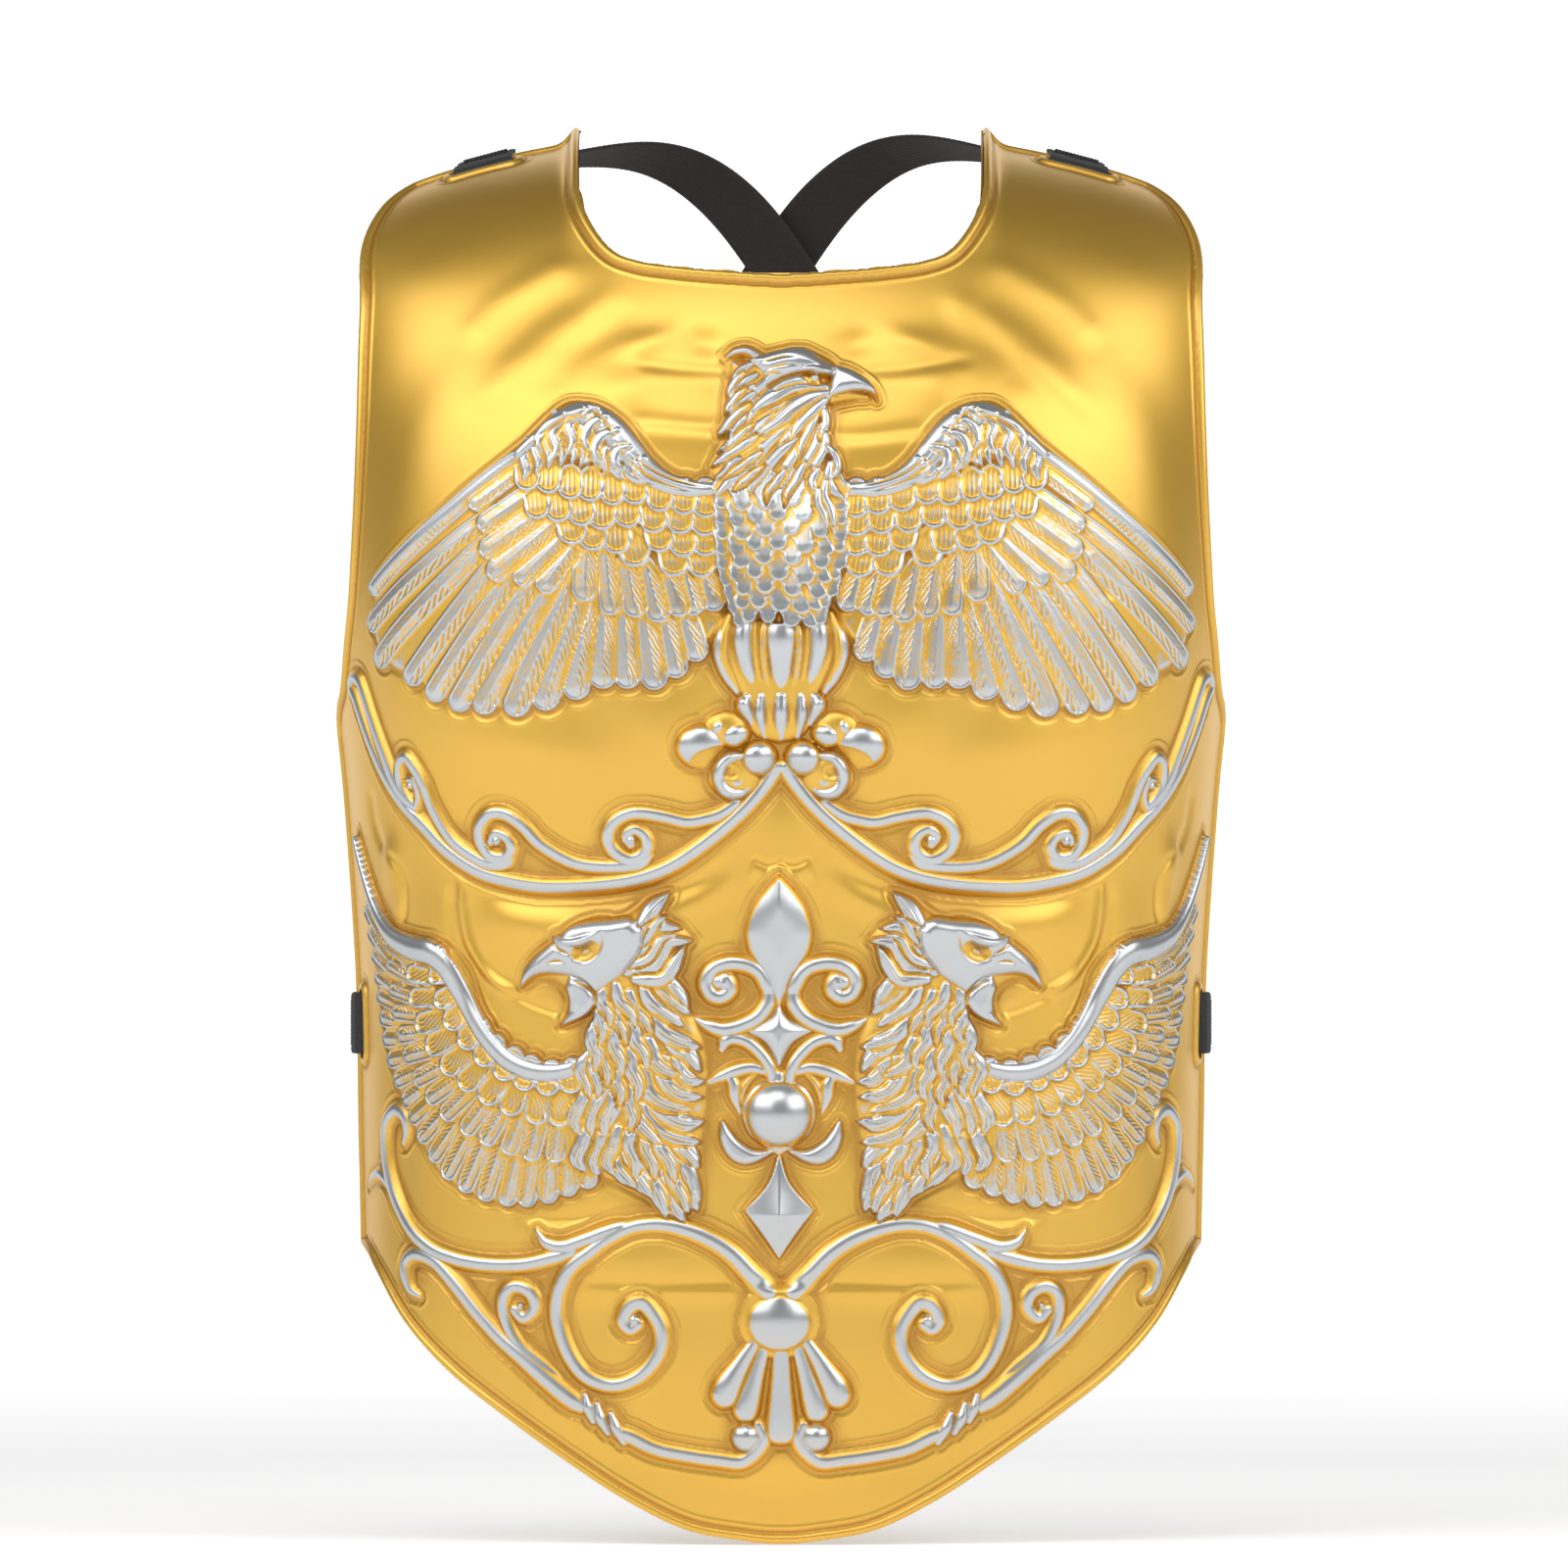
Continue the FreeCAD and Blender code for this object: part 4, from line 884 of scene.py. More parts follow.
def centreColumn():
    petal = mirroredRuns(fleur["petal"])
    swell(petal, 4.4, ownerOf("fleur_petal"), steep=11.0, silverFrom=0.36, ridge=1.6, flank=1.6)
    star = mirroredRuns(fleur["star"])
    swell(star, 2.6, ownerOf("star"), steep=6.0, power=0.7, ridge=1.4, silverFrom=0.3, silverTo=0.5)
    kiteForm()
    ballOwner = ownerOf("ball_boss")
    stroke(fleur["neck"], 9.0, 3.0, ballOwner)
    swell(mirroredRuns(fleur["seat"]), 2.0, ballOwner, steep=3.0, silver=0.6)
    dome(*fleur["ball"], ballOwner, power=0.62, silverFrom=0.34, silverTo=0.5)


bothSides(fleurSide)
centreColumn()
report("centre column")


# Palmette below the belly scroll

palmette = {
    "drops": [
        [(770, 1368, 0.5), (757, 1388, 0.75), (744, 1410, 1.1), (740, 1420, 1.15)],
        [(780, 1374, 0.45), (772, 1400, 0.65), (764, 1426, 0.95), (761, 1436, 1.0)],
        [(795, 1376, 0.5), (795, 1410, 0.7), (795, 1446, 1.0), (795, 1458, 1.05)],
    ],
    # domes: centre, radii, height
    "bed": ((795, 1345), (42, 39), 3.0),
    "button": ((795, 1347), (35, 31), 6.4),
}


def drops():
    owner = ownerOf("palmette")
    for points in palmette["drops"]:
        stroke(points, 11.4, 3.9, owner, silverFrom=0.58, silverTo=0.8, power=0.62)


bothSides(drops)
dome(*palmette["bed"], ownerOf("palmette"), power=0.5, silver=0.0)
dome(*palmette["button"], ownerOf("palmette"), power=0.55, silverFrom=0.4, silverTo=0.62)
report("palmette")


# Eagle's tail: a ribbed barrel over a ribbed cup, and the cluster of lobes below

barrel = {
    # points, width, height, silver
    "ribs": [
        ([(747, 628, 0.6), (740, 650, 1.0), (740, 676, 1.0), (754, 706, 0.5)], 6.0, 4.6, 0.25),
        ([(784, 624, 0.6), (779, 650, 1.0), (781, 684, 0.9), (787, 707, 0.5)], 5.6, 5.2, 0.35),
        ([(772, 624, 0.6), (770, 648, 0.9), (773, 680, 0.9), (779, 707, 0.5)], 4.6, 4.8, 0.0),
        (
            [(744, 634, 0.5), (736, 652, 0.9), (735, 672, 0.9), (743, 692, 0.8), (753, 707, 0.5)],
            6.0, 4.6, 1.0,
        ),
        ([(766, 624, 0.6), (759, 645, 1.1), (760, 670, 1.0), (770, 704, 0.5)], 9.0, 5.4, 1.0),
        ([(796, 624, 0.85), (796, 652, 1.2), (796, 684, 0.85), (796, 706, 0.5)], 12.0, 5.5, 1.0),
        ([(796, 711, 0.8), (796, 730, 1.0), (796, 753, 0.5)], 7.0, 5.4, 1.0),
        ([(777, 711, 0.8), (776, 730, 1.0), (780, 752, 0.5)], 6.0, 5.2, 1.0),
        ([(786, 711, 0.6), (786, 730, 0.8), (788, 752, 0.5)], 4.0, 4.6, 0.0),
        ([(763, 712, 0.9), (760, 720, 1.2), (768, 738, 0.6)], 6.4, 4.6, 1.0),
    ],
}


def barrelSide():
    owner = ownerOf("eagle_tail")
    for points, width, height, silver in barrel["ribs"]:
        stroke(points, width, height, owner, silverFrom=0.6, silverTo=0.85, power=0.6, silver=silver)


def barrelCore():
    owner = ownerOf("eagle_tail")
    runs = [
        [(795, 618), (760, 620), (742, 630), (734, 650), (738, 672), (750, 694), (758, 708)],
        [(758, 708), (756, 718), (761, 732), (774, 750), (795, 756)],
    ]
    swell(mirroredRuns(runs), 3.2, owner, steep=5, silver=0.0)


rosette = {
    # two layers, each with lobes (centre, radii, turn in degrees, height, silver, where the silver starts)
    # and then hollows (centre, radii, turn, depth)
    "layers": [
        (
            [
                ((742, 745), (24, 20), 0, 3.4, 0.0, 0.9), ((734, 742), (7, 10), 20, 3.9, 0.8, 0.5),
                ((716, 761), (26, 23), -10, 5.0, 1.0, 0.46),
            ],
            [((728, 772), (25, 11), -16, 1.9), ((758, 762), (14, 6), -20, 1.2)],
        ),
        (
            [((750, 792), (27, 24), 0, 3.8, 0.0, 0.5), ((751, 750), (16, 13), -20, 4.8, 1.0, 0.6)],
            [((747, 788), (8, 7), 0, 1.3)],
        ),
    ],
    "curls": [
        [
            (758, 771, 0.5), (745, 773, 0.9), (736, 783, 1.0), (735, 796, 1.0), (742, 807, 1.0),
            (755, 809, 0.8), (765, 803, 0.5),
        ],
        [(763, 790, 0.5), (755, 798, 0.8), (747, 797, 0.7), (744, 790, 0.5)],
    ],
    "ball": ((775, 774), (19, 19)),
}


def rosetteSide():
    owner = ownerOf(sideName("tail_rosette"))
    for lobes, hollows in rosette["layers"]:
        for centre, radii, turn, height, silver, start in lobes:
            dome(centre, radii, height, owner, start, start + 0.2, power=0.55, turn=turn, silver=silver)
        for each in hollows:
            hollow(*each)
    for points in rosette["curls"]:
        stroke(points, 6.6, 4.9, owner, silverFrom=0.5, silverTo=0.8, power=0.6)
    centre, radii = rosette["ball"]
    dome(centre, radii, 6.2, owner, silverFrom=0.5, silverTo=0.7, power=0.55)


barrelCore()
bothSides(barrelSide)
bothSides(rosetteSide)
report("tail")


# Feathers, scales and locks of hair. Each is laid over those before it, so the lowest row comes first.

def toneOf(place):
    # A number from -1 to 1 that differs from piece to piece
    return math.sin(12.99 * place[0] + 78.2 * place[1])


def paintFine(at, share, form, owner):
    paint(at, share, form, 0.5, owner)
    sheet.fine[at] = np.maximum(sheet.fine[at], share)


def feather(
    root, tip, width, owner, low, high, rim=0.42, shaft=0.3, barb=0.3, pitch=2.3, lean=0.8, crown=0.5,
    pointed=0.0, tilt=0.0, shine=0.0,
):
    # From root to tip in pixels; the width is in pixels; low and high are its heights at root and tip
    half = width * picture["scale"] / 2
    start, end = sheet.place([root, tip])
    way = end - start
    length = np.linalg.norm(way)
    way = way / max(length, 1e-6)
    end = end - way * min(half, length * 0.8) * (1 - pointed)
    near = Near(np.array([start, end]), half + 1.2)
    narrow = 1 - pointed * smooth(0.5, 1.0, near.share)
    depth = half * narrow * smooth(-0.4, 0.25, near.share) - near.away
    share = smooth(-0.35, 0.3, depth)
    inner = smooth(0.9, 1.5, depth) * smooth(0.25, 0.8, abs(near.across))
    form = low + (high - low) * near.share + crown * (1 - np.clip(near.away / half, 0, 1) ** 2)
    form = form + rim * np.exp(-((depth - 0.65) / 0.42) ** 2)
    # Slanting slashes on one half, each feather with its own waver and worn places
    tone = toneOf(root)
    wander = 0.5 * np.sin(near.along / 3.1 + 5 * tone) + 0.3 * np.sin(near.along / 1.7 + 9 * tone)
    wave = (near.along - lean * abs(near.across)) / pitch + tone + 0.3 * wander
    worn = np.sin(near.along / 5.3 + 7 * tone) + 0.7 * np.sin(near.across / 1.1 + 3 * tone)
    bare = smooth(-0.25, 0.15, sheet.side * near.across / half * np.sign(tilt))
    patch = smooth(-1.1, 0.4, worn) * (1 - 0.95 * bare)
    form = form + inner * barb * patch * (np.clip(np.cos(2 * np.pi * wave), -1, 0.5) - 0.2)
    form = form + tilt * sheet.side * near.across / half
    form = form + shaft * np.exp(-(near.across / 0.5) ** 2) * smooth(0.5, 1.2, depth) * (1 - 0.6 * near.share)
    paintFine(near.at, share, form, owner)
    sheet.shine[near.at] = sheet.shine[near.at] * (1 - share) + shine * share


def shell(root, tip, width, owner, low, high, tilt=0.45, lean=0.0):
    # A scale of a wing's shoulder: a hollow with fine rays inside a thick round lip
    half = width * picture["scale"] / 2
    start, end = sheet.place([root, tip])
    way = end - start
    way = way / max(np.linalg.norm(way), 1e-6)
    near = Near(np.array([start, end - way * half * 0.8]), half + 1.2)
    depth = half * smooth(-0.5, 0.2, near.share) - near.away
    share = smooth(-0.35, 0.3, depth)
    lip = np.exp(-((depth - 0.8) / 0.6) ** 2) * (0.35 + 0.65 * smooth(0.3, 1.0, near.share))
    inside = smooth(0.9, 2.2, depth)
    rays = np.cos(2 * np.pi * (near.across + lean * near.along) / 1.9 + 4 * toneOf(root))
    rays = rays * smooth(-0.4, 0.3, near.share)
    form = low + (high - low) * near.share + 0.75 * lip - 0.3 * inside + 0.15 * inside * rays
    form = form + tilt * sheet.side * near.across / half
    paintFine(near.at, share, form, owner)


def lock(points, width, owner, low, rise, split):
    # A tapered, curling tuft: from a rounded root to a point. The width is in pixels.
    line = curve(sheet.place(points), 1.0)
    half = width * picture["scale"] / 2
    near = Near(line, half + 0.8)
    size = half * np.clip(1.15 * np.sin(np.pi * np.clip(0.16 + 0.84 * near.share, 0, 1)) ** 0.7, 0.06, 1)
    depth = size - near.away
    share = smooth(-0.3, 0.25, depth)
    crest = np.clip(1 - (near.away / np.maximum(size, 0.05)) ** 2, 0, 1) ** 0.8
    form = low + rise * crest * (0.55 + 0.45 * np.clip(size / half, 0, 1))
    for at, start in ((0.1, 0.15), (-0.45, 0.35), (0.55, 0.3)):
        strand = np.exp(-((near.across - at * half) / 0.32) ** 2) * smooth(start, start + 0.25, near.share)
        form = form - split * strand * (depth > 0)
    paintFine(near.at, share, form, owner)


def ground(runs, height, owner, steep=3.0, flank=0.8):
    # The raised bed that feathers or locks lie on
    at, depth = depthWithin(runs)
    depth = depth + flank
    form = height * (1 - (1 - np.clip(depth / steep, 0, 1)) ** 2)
    lift(at, form, 0.0, owner)
    inside = smooth(0.0, 1.0, depth)
    sheet.fine[at] = np.maximum(sheet.fine[at], inside)


# Eagle's wings. Each feather is a root, a tip and a width.

wing = {
    "ground": [
        [
            (736, 498), (700, 497), (676, 486), (653, 463), (634, 441), (618, 425), (594, 417), (577, 421),
            (558, 438), (535, 460), (483, 501), (434, 547), (389, 593),
        ],
        [
            (389, 593), (388, 640), (400, 672), (430, 690), (452, 706), (474, 716), (498, 718), (530, 722),
            (560, 716), (590, 706), (620, 695), (645, 695), (672, 696), (693, 684), (714, 664), (736, 640),
        ],
        [(736, 640), (738, 570), (736, 498)],
    ],
    "primaries": [
        ((690, 600), (716, 676), 24, 2.4), ((676, 606), (694, 693), 24, 2.4),
        ((657, 608), (672, 705), 25, 2.4),
        ((638, 606), (644, 704), 25, 2.4), ((620, 604), (618, 704), 26, 2.4),
        ((604, 598), (590, 715), 26, 2.6),
        ((598, 596), (557, 725), 27, 3.4), ((588, 590), (527, 731), 26, 4.2),
        ((576, 580), (495, 728), 24, 4.4),
        ((562, 572), (470, 725), 23, 4.6), ((548, 562), (446, 715), 22, 4.6),
        ((534, 552), (424, 698), 22, 4.6),
        ((522, 540), (391, 679), 22, 4.6), ((512, 524), (383, 642), 20, 4.2),
    ],
    "lead": ((538, 468), (387, 606), 21, 2.0),
    "second": [
        ((716, 578), (734, 626), 22), ((700, 580), (713, 630), 22), ((682, 580), (698, 631), 22),
        ((662, 578), (677, 637), 22), ((642, 572), (653, 632), 22), ((622, 568), (628, 630), 21),
        ((603, 562), (601, 616), 25), ((590, 560), (557, 606), 22), ((582, 548), (533, 598), 22),
        ((574, 534), (506, 592), 23), ((562, 522), (498, 569), 22), ((548, 506), (496, 543), 21),
        ((540, 482), (487, 522), 17),
    ],
    "scales": [
        ((716, 566), (720, 589), 27), ((688, 562), (692, 588), 28), ((648, 552), (654, 578), 28),
        ((722, 545), (721, 568), 27), ((698, 545), (700, 569), 26), ((674, 540), (677, 564), 26),
        ((632, 538), (634, 566), 26), ((606, 538), (613, 562), 26), ((586, 530), (592, 556), 26),
        ((720, 522), (722, 548), 27), ((695, 520), (698, 546), 26), ((668, 520), (671, 545), 26),
        ((643, 514), (645, 540), 25), ((618, 516), (619, 542), 26), ((596, 512), (600, 538), 25),
        ((574, 508), (577, 534), 24), ((553, 506), (556, 531), 22), ((721, 503), (723, 530), 25),
        ((700, 503), (700, 527), 25), ((676, 498), (676, 524), 25), ((650, 494), (652, 517), 23),
        ((628, 492), (630, 518), 22), ((607, 490), (607, 514), 22), ((587, 488), (588, 512), 22),
        ((566, 480), (566, 506), 22), ((545, 478), (545, 503), 22),
    ],
    # curling tufts at the wrist, in lines of pixels with a width
    "tufts": [
        ([(545, 455), (541, 470), (544, 484), (540, 496)], 9),
        ([(556, 446), (552, 462), (556, 476), (553, 490)], 9),
        ([(565, 440), (562, 456), (567, 470), (565, 484)], 9),
        ([(576, 436), (574, 452), (580, 466), (577, 482)], 9),
        ([(588, 434), (586, 450), (592, 464), (588, 480)], 9),
        ([(600, 436), (597, 452), (602, 466), (596, 482)], 9),
        ([(612, 440), (606, 454), (608, 468), (601, 480)], 9),
        ([(620, 450), (613, 460), (612, 472), (617, 484)], 8),
        ([(626, 460), (621, 470), (622, 480), (630, 488)], 8),
        ([(634, 470), (630, 480), (636, 488), (646, 494)], 8),
        ([(644, 478), (646, 488), (656, 494), (668, 498)], 8),
        ([(572, 428), (580, 440), (576, 452), (584, 462)], 8),
        ([(590, 428), (600, 440), (596, 454), (604, 464)], 8),
    ],
    "band": [
        (732, 503, 0.5), (716, 503, 0.6), (700, 502, 0.7), (680, 496, 0.85), (661, 483, 1.0), (645, 465, 1.1),
        (630, 446, 1.1), (614, 433, 1.05), (597, 427, 0.95), (580, 431, 0.75), (565, 441, 0.6),
        (550, 454, 0.5),
        (536, 467, 0.45),
    ],
    "hairs": [
        [(640, 472), (660, 490), (690, 502), (720, 508)], [(652, 470), (668, 484), (695, 496), (728, 503)],
        [(628, 452), (646, 476), (672, 495), (704, 505)], [(640, 459), (658, 478), (680, 491), (712, 499)],
        [(560, 452), (572, 440), (588, 432), (606, 434)], [(548, 462), (560, 449), (576, 438), (592, 434)],
        [(598, 424), (614, 430), (626, 444), (634, 456)], [(590, 420), (606, 423), (620, 434), (632, 450)],
    ],
    # curls that hang from the wrist over the scales
    "curls": [
        ([(612, 424), (596, 428), (586, 440), (590, 456), (584, 470)], 13),
        ([(622, 432), (608, 440), (602, 454), (608, 468)], 12),
        ([(634, 446), (618, 452), (612, 466), (620, 480)], 12),
        ([(598, 426), (580, 434), (570, 448), (574, 464), (566, 478)], 13),
        ([(580, 432), (564, 442), (556, 456), (560, 470)], 11),
        ([(646, 462), (634, 466), (632, 478), (642, 488)], 11),
        ([(660, 474), (652, 482), (660, 492), (676, 498)], 10),
    ],
}


def eagleWing():
    owner = ownerOf(sideName("wing"))
    covert = ownerOf(sideName("wing_coverts"))
    ground(wing["ground"], 1.3, owner)
    for root, tip, width, pitch in wing["primaries"]:
        pitch = max(3.4, pitch)
        feather(
            root, tip, width + 3, owner, 1.9, 1.7, pitch=pitch, lean=2.1, tilt=0.3, barb=0.5, crown=0.7,
            shaft=0.2, shine=0.05,
        )
    root, tip, width, pitch = wing["lead"]
    feather(root, tip, width, owner, 2.7, 2.2, pitch=2.4, lean=0.3, rim=0.6, shaft=0.0, crown=1.0, tilt=0.7)
    for root, tip, width in wing["second"]:
        feather(
            root, tip, width + 3, covert, 2.2, 2.8, pitch=3.2, lean=1.9, tilt=0.25, barb=0.45, crown=0.7,
            shaft=0.2,
        )
    for root, tip, width in wing["scales"]:
        shell(root, tip, width + 5, covert, 2.6, 3.2)
    for points, width in wing["tufts"]:
        lock(points, width + 5, covert, 2.9, 1.5, split=0.35)
    ridgeBand(wing["band"], 5.0, 2.0, 2.4, 0.3, covert)
    for points, width in wing["curls"]:
        lock(points, width, covert, 3.9, 1.0, split=0.3)
    for points in wing["hairs"]:
        cutLine(points, 2.0, width=0.45, depth=0.6, wiped=0.8)


# Eagle's body and head

eagle = {
    "body": [
        [(735, 505), (733, 540), (734, 582), (740, 612), (752, 630)], [(752, 630), (795, 637), (840, 630)],
        [(840, 630), (852, 612), (859, 580), (860, 540), (858, 505)], [(858, 505), (795, 480), (735, 505)],
    ],
    "scaleRows": 9, "scaleTop": 508, "scaleStep": 14.6,
    "headGround": [
        [(748, 372), (772, 369), (812, 360), (834, 366), (852, 380), (850, 402), (839, 412)],
        [(839, 412), (839, 430), (844, 450), (850, 470), (856, 490), (860, 506), (850, 540)],
        [(850, 540), (820, 520), (795, 510), (760, 515), (733, 510)],
        [(733, 510), (730, 482), (738, 462), (744, 440), (742, 416), (745, 396), (748, 372)],
    ],
    "cap": [
        [
            (764, 372), (780, 366), (795, 362), (814, 359), (829, 364), (843, 374), (852, 381), (848, 388),
            (836, 388), (822, 385), (808, 387), (795, 391), (784, 399), (774, 407),
        ],
        [(774, 407), (768, 401), (779, 391), (776, 382), (764, 372)],
    ],
    "beak": [
        [(851, 378), (862, 380), (874, 386), (884, 394), (890, 402), (894, 413)],
        [(894, 413), (888, 407), (876, 404), (862, 405), (846, 409)],
        [(846, 409), (847, 395), (851, 378)],
    ],
    "jaw": [(838, 413, 1.0), (852, 410, 0.9), (868, 408, 0.75), (884, 409, 0.4)],
    "nape": [
        ([(758, 386), (749, 396), (743, 410)], 9), ([(760, 402), (750, 412), (740, 427)], 10),
        ([(764, 418), (750, 430), (733, 450)], 11), ([(768, 438), (754, 450), (741, 466)], 10),
        ([(772, 450), (752, 464), (728, 480)], 12), ([(776, 466), (758, 480), (738, 494)], 11),
        ([(778, 480), (762, 494), (748, 506)], 11),
    ],
    "cheek": [
        ([(840, 402), (824, 398), (806, 400), (784, 412), (766, 426)], 17),
        ([(842, 408), (826, 412), (808, 422), (792, 436), (774, 448)], 18),
        ([(841, 414), (830, 424), (816, 438), (806, 454)], 13),
        ([(834, 396), (818, 393), (800, 397), (786, 405)], 10),
    ],
    "capStrands": [
        [(770, 377), (784, 374), (800, 370), (814, 370)], [(776, 385), (790, 381), (804, 378), (816, 379)],
        [(768, 395), (778, 389), (792, 386), (806, 384)], [(826, 366), (836, 372), (844, 378)],
    ],
    "eyeLines": [
        [(820, 391), (827, 397), (837, 397), (846, 391)],
        [(784, 399), (800, 391), (816, 386), (834, 387), (848, 388)],
    ],
    "socket": ((833, 391), (14, 7), 4, 1.3),
    "eye": (831, 391),
    "brow": [(812, 382, 0.6), (828, 382, 1.0), (842, 385, 1.0), (853, 384, 0.5)],
    "tuft": [(774, 368, 1.0), (762, 362, 1.0), (750, 363, 0.8), (742, 367, 0.3)],
    "locks": [
        # back of the neck
        ([(768, 376), (756, 384), (750, 394), (746, 404)], 9),
        ([(772, 388), (758, 396), (750, 408), (742, 418)], 9),
        ([(775, 398), (762, 404), (752, 416), (745, 432)], 9),
        ([(772, 404), (758, 416), (750, 430), (744, 446)], 9),
        ([(776, 412), (760, 424), (750, 444), (745, 458)], 10),
        ([(768, 424), (754, 440), (748, 456), (733, 466)], 10),
        ([(760, 440), (750, 456), (742, 470), (727, 480)], 10),
        ([(758, 458), (750, 470), (744, 484), (730, 494)], 10),
        ([(756, 474), (750, 488), (742, 500), (730, 511)], 10),
        # middle rows
        ([(800, 402), (784, 410), (770, 424), (762, 440)], 11),
        ([(812, 412), (792, 424), (776, 436), (764, 456)], 12),
        ([(806, 424), (784, 434), (764, 450), (746, 474)], 14),
        ([(818, 420), (800, 434), (786, 448), (778, 466)], 12),
        ([(812, 438), (794, 448), (780, 462), (771, 480)], 13),
        ([(824, 430), (808, 446), (798, 462), (790, 478)], 12),
        ([(812, 454), (796, 466), (784, 480), (775, 494)], 12),
        ([(826, 448), (812, 466), (802, 482), (796, 502)], 13),
        ([(834, 424), (826, 442), (818, 458), (814, 474)], 11),
        ([(838, 440), (832, 458), (822, 476), (812, 492)], 12),
        ([(764, 474), (768, 486), (758, 496), (752, 508)], 10),
        ([(782, 482), (774, 492), (768, 500), (766, 512)], 10),
        ([(800, 484), (792, 496), (784, 506), (782, 520)], 10),
        ([(820, 478), (812, 494), (804, 506), (800, 522)], 11),
        # throat
        ([(840, 420), (842, 436), (838, 452), (842, 466)], 10),
        ([(842, 448), (840, 464), (832, 480), (834, 498)], 11),
        ([(845, 462), (852, 472), (854, 484), (848, 494)], 9),
        ([(834, 484), (828, 496), (832, 508), (828, 522)], 11),
        ([(846, 478), (844, 494), (850, 506), (861, 514)], 11),
        ([(842, 496), (840, 510), (846, 524), (852, 544)], 11),
        ([(834, 504), (834, 518), (840, 530), (844, 544)], 9),
    ],
}


def eagleBody():
    owner = ownerOf("eagle_body")
    at, depth = depthWithin(eagle["body"])
    share = smooth(-0.5, 0.4, depth)
    paint(at, share, 2.0 + 3.4 * (1 - (1 - np.clip(depth / 22.0, 0, 1)) ** 2), 0.4, owner)
    sheet.fine[at] = np.maximum(sheet.fine[at], share)
    middle = picture["ornamentX"] + 1
    for row in range(eagle["scaleRows"] - 1, -1, -1):
        y = eagle["scaleTop"] + row * eagle["scaleStep"]
        reach = 61 - 2.6 * max(0, row - 4) ** 1.4
        count = 7 if row % 2 else 6
        for index in range(count):
            share = (index - (count - 1) / 2) / (count / 2)
            jitter = math.sin(12.9 * row + 7.7 * index)
            x = middle + reach * math.sin(share * 1.35) + 2.5 * jitter
            size = (32 - 14 * abs(share) ** 1.5) * (1 + 0.1 * jitter)
            level = 2.2 + 3.4 * (1 - min(1, abs(x - middle) / 66) ** 2.2)
            feather(
                (x, y - 16 + 2 * jitter), (x + 5 * share, y + 15 + 3 * jitter), size, owner,
                level - 0.5, level + 0.6, rim=0.15, shaft=0.0, barb=0.0, crown=0.3, pointed=0.4,
                tilt=0.3 * jitter, shine=0.17,
            )


def eagleHead():
    owner = ownerOf("eagle_head")
    ground(eagle["headGround"], 3.6, owner, steep=9.0, flank=1.0)
    stroke(eagle["jaw"], 5.6, 3.6, owner, silver=0.0)
    for points, width in eagle["locks"]:
        level = np.mean([y for _, y in points])
        lock(points, width, owner, 3.9 + 0.4 * math.sin(level), 1.7, split=0.3)
    stroke(eagle["tuft"], 5.2, 4.2, owner)
    for points, width in eagle["nape"]:
        lock(points, width, owner, 2.9, 1.4, split=0.25)
    for points, width in eagle["cheek"]:
        lock(points, width, owner, 4.4, 1.5, split=0.25)
    plate(eagle["cap"], 3.4, 6.4, 6.0, owner)
    plate(eagle["beak"], 3.4, 6.0, 4.2, owner)
    for points in eagle["eyeLines"]:
        line = Near(curve(sheet.place(points), 1.0), 4.0)
        sheet.relief[line.at] -= 0.9 * np.exp(-(line.away / 0.7) ** 2)
        sheet.silver[line.at] *= 1 - 0.9 * np.exp(-(line.away / 0.8) ** 2)
        sheet.fine[line.at] *= 1 - np.exp(-(line.away / 1.0) ** 2)
    hollow(*eagle["socket"])
    dome(eagle["eye"], (7, 5), 6.0, owner, power=0.5, silverFrom=0.5, silverTo=0.7)
    stroke(eagle["brow"], 4.2, 7.0, owner, power=0.55)
    for points in eagle["capStrands"]:
        cutLine(points, 3.0, width=0.6, depth=0.6, wiped=0.85)


bothSides(eagleWing)
eagleBody()
eagleHead()
report("eagle")


# Griffins

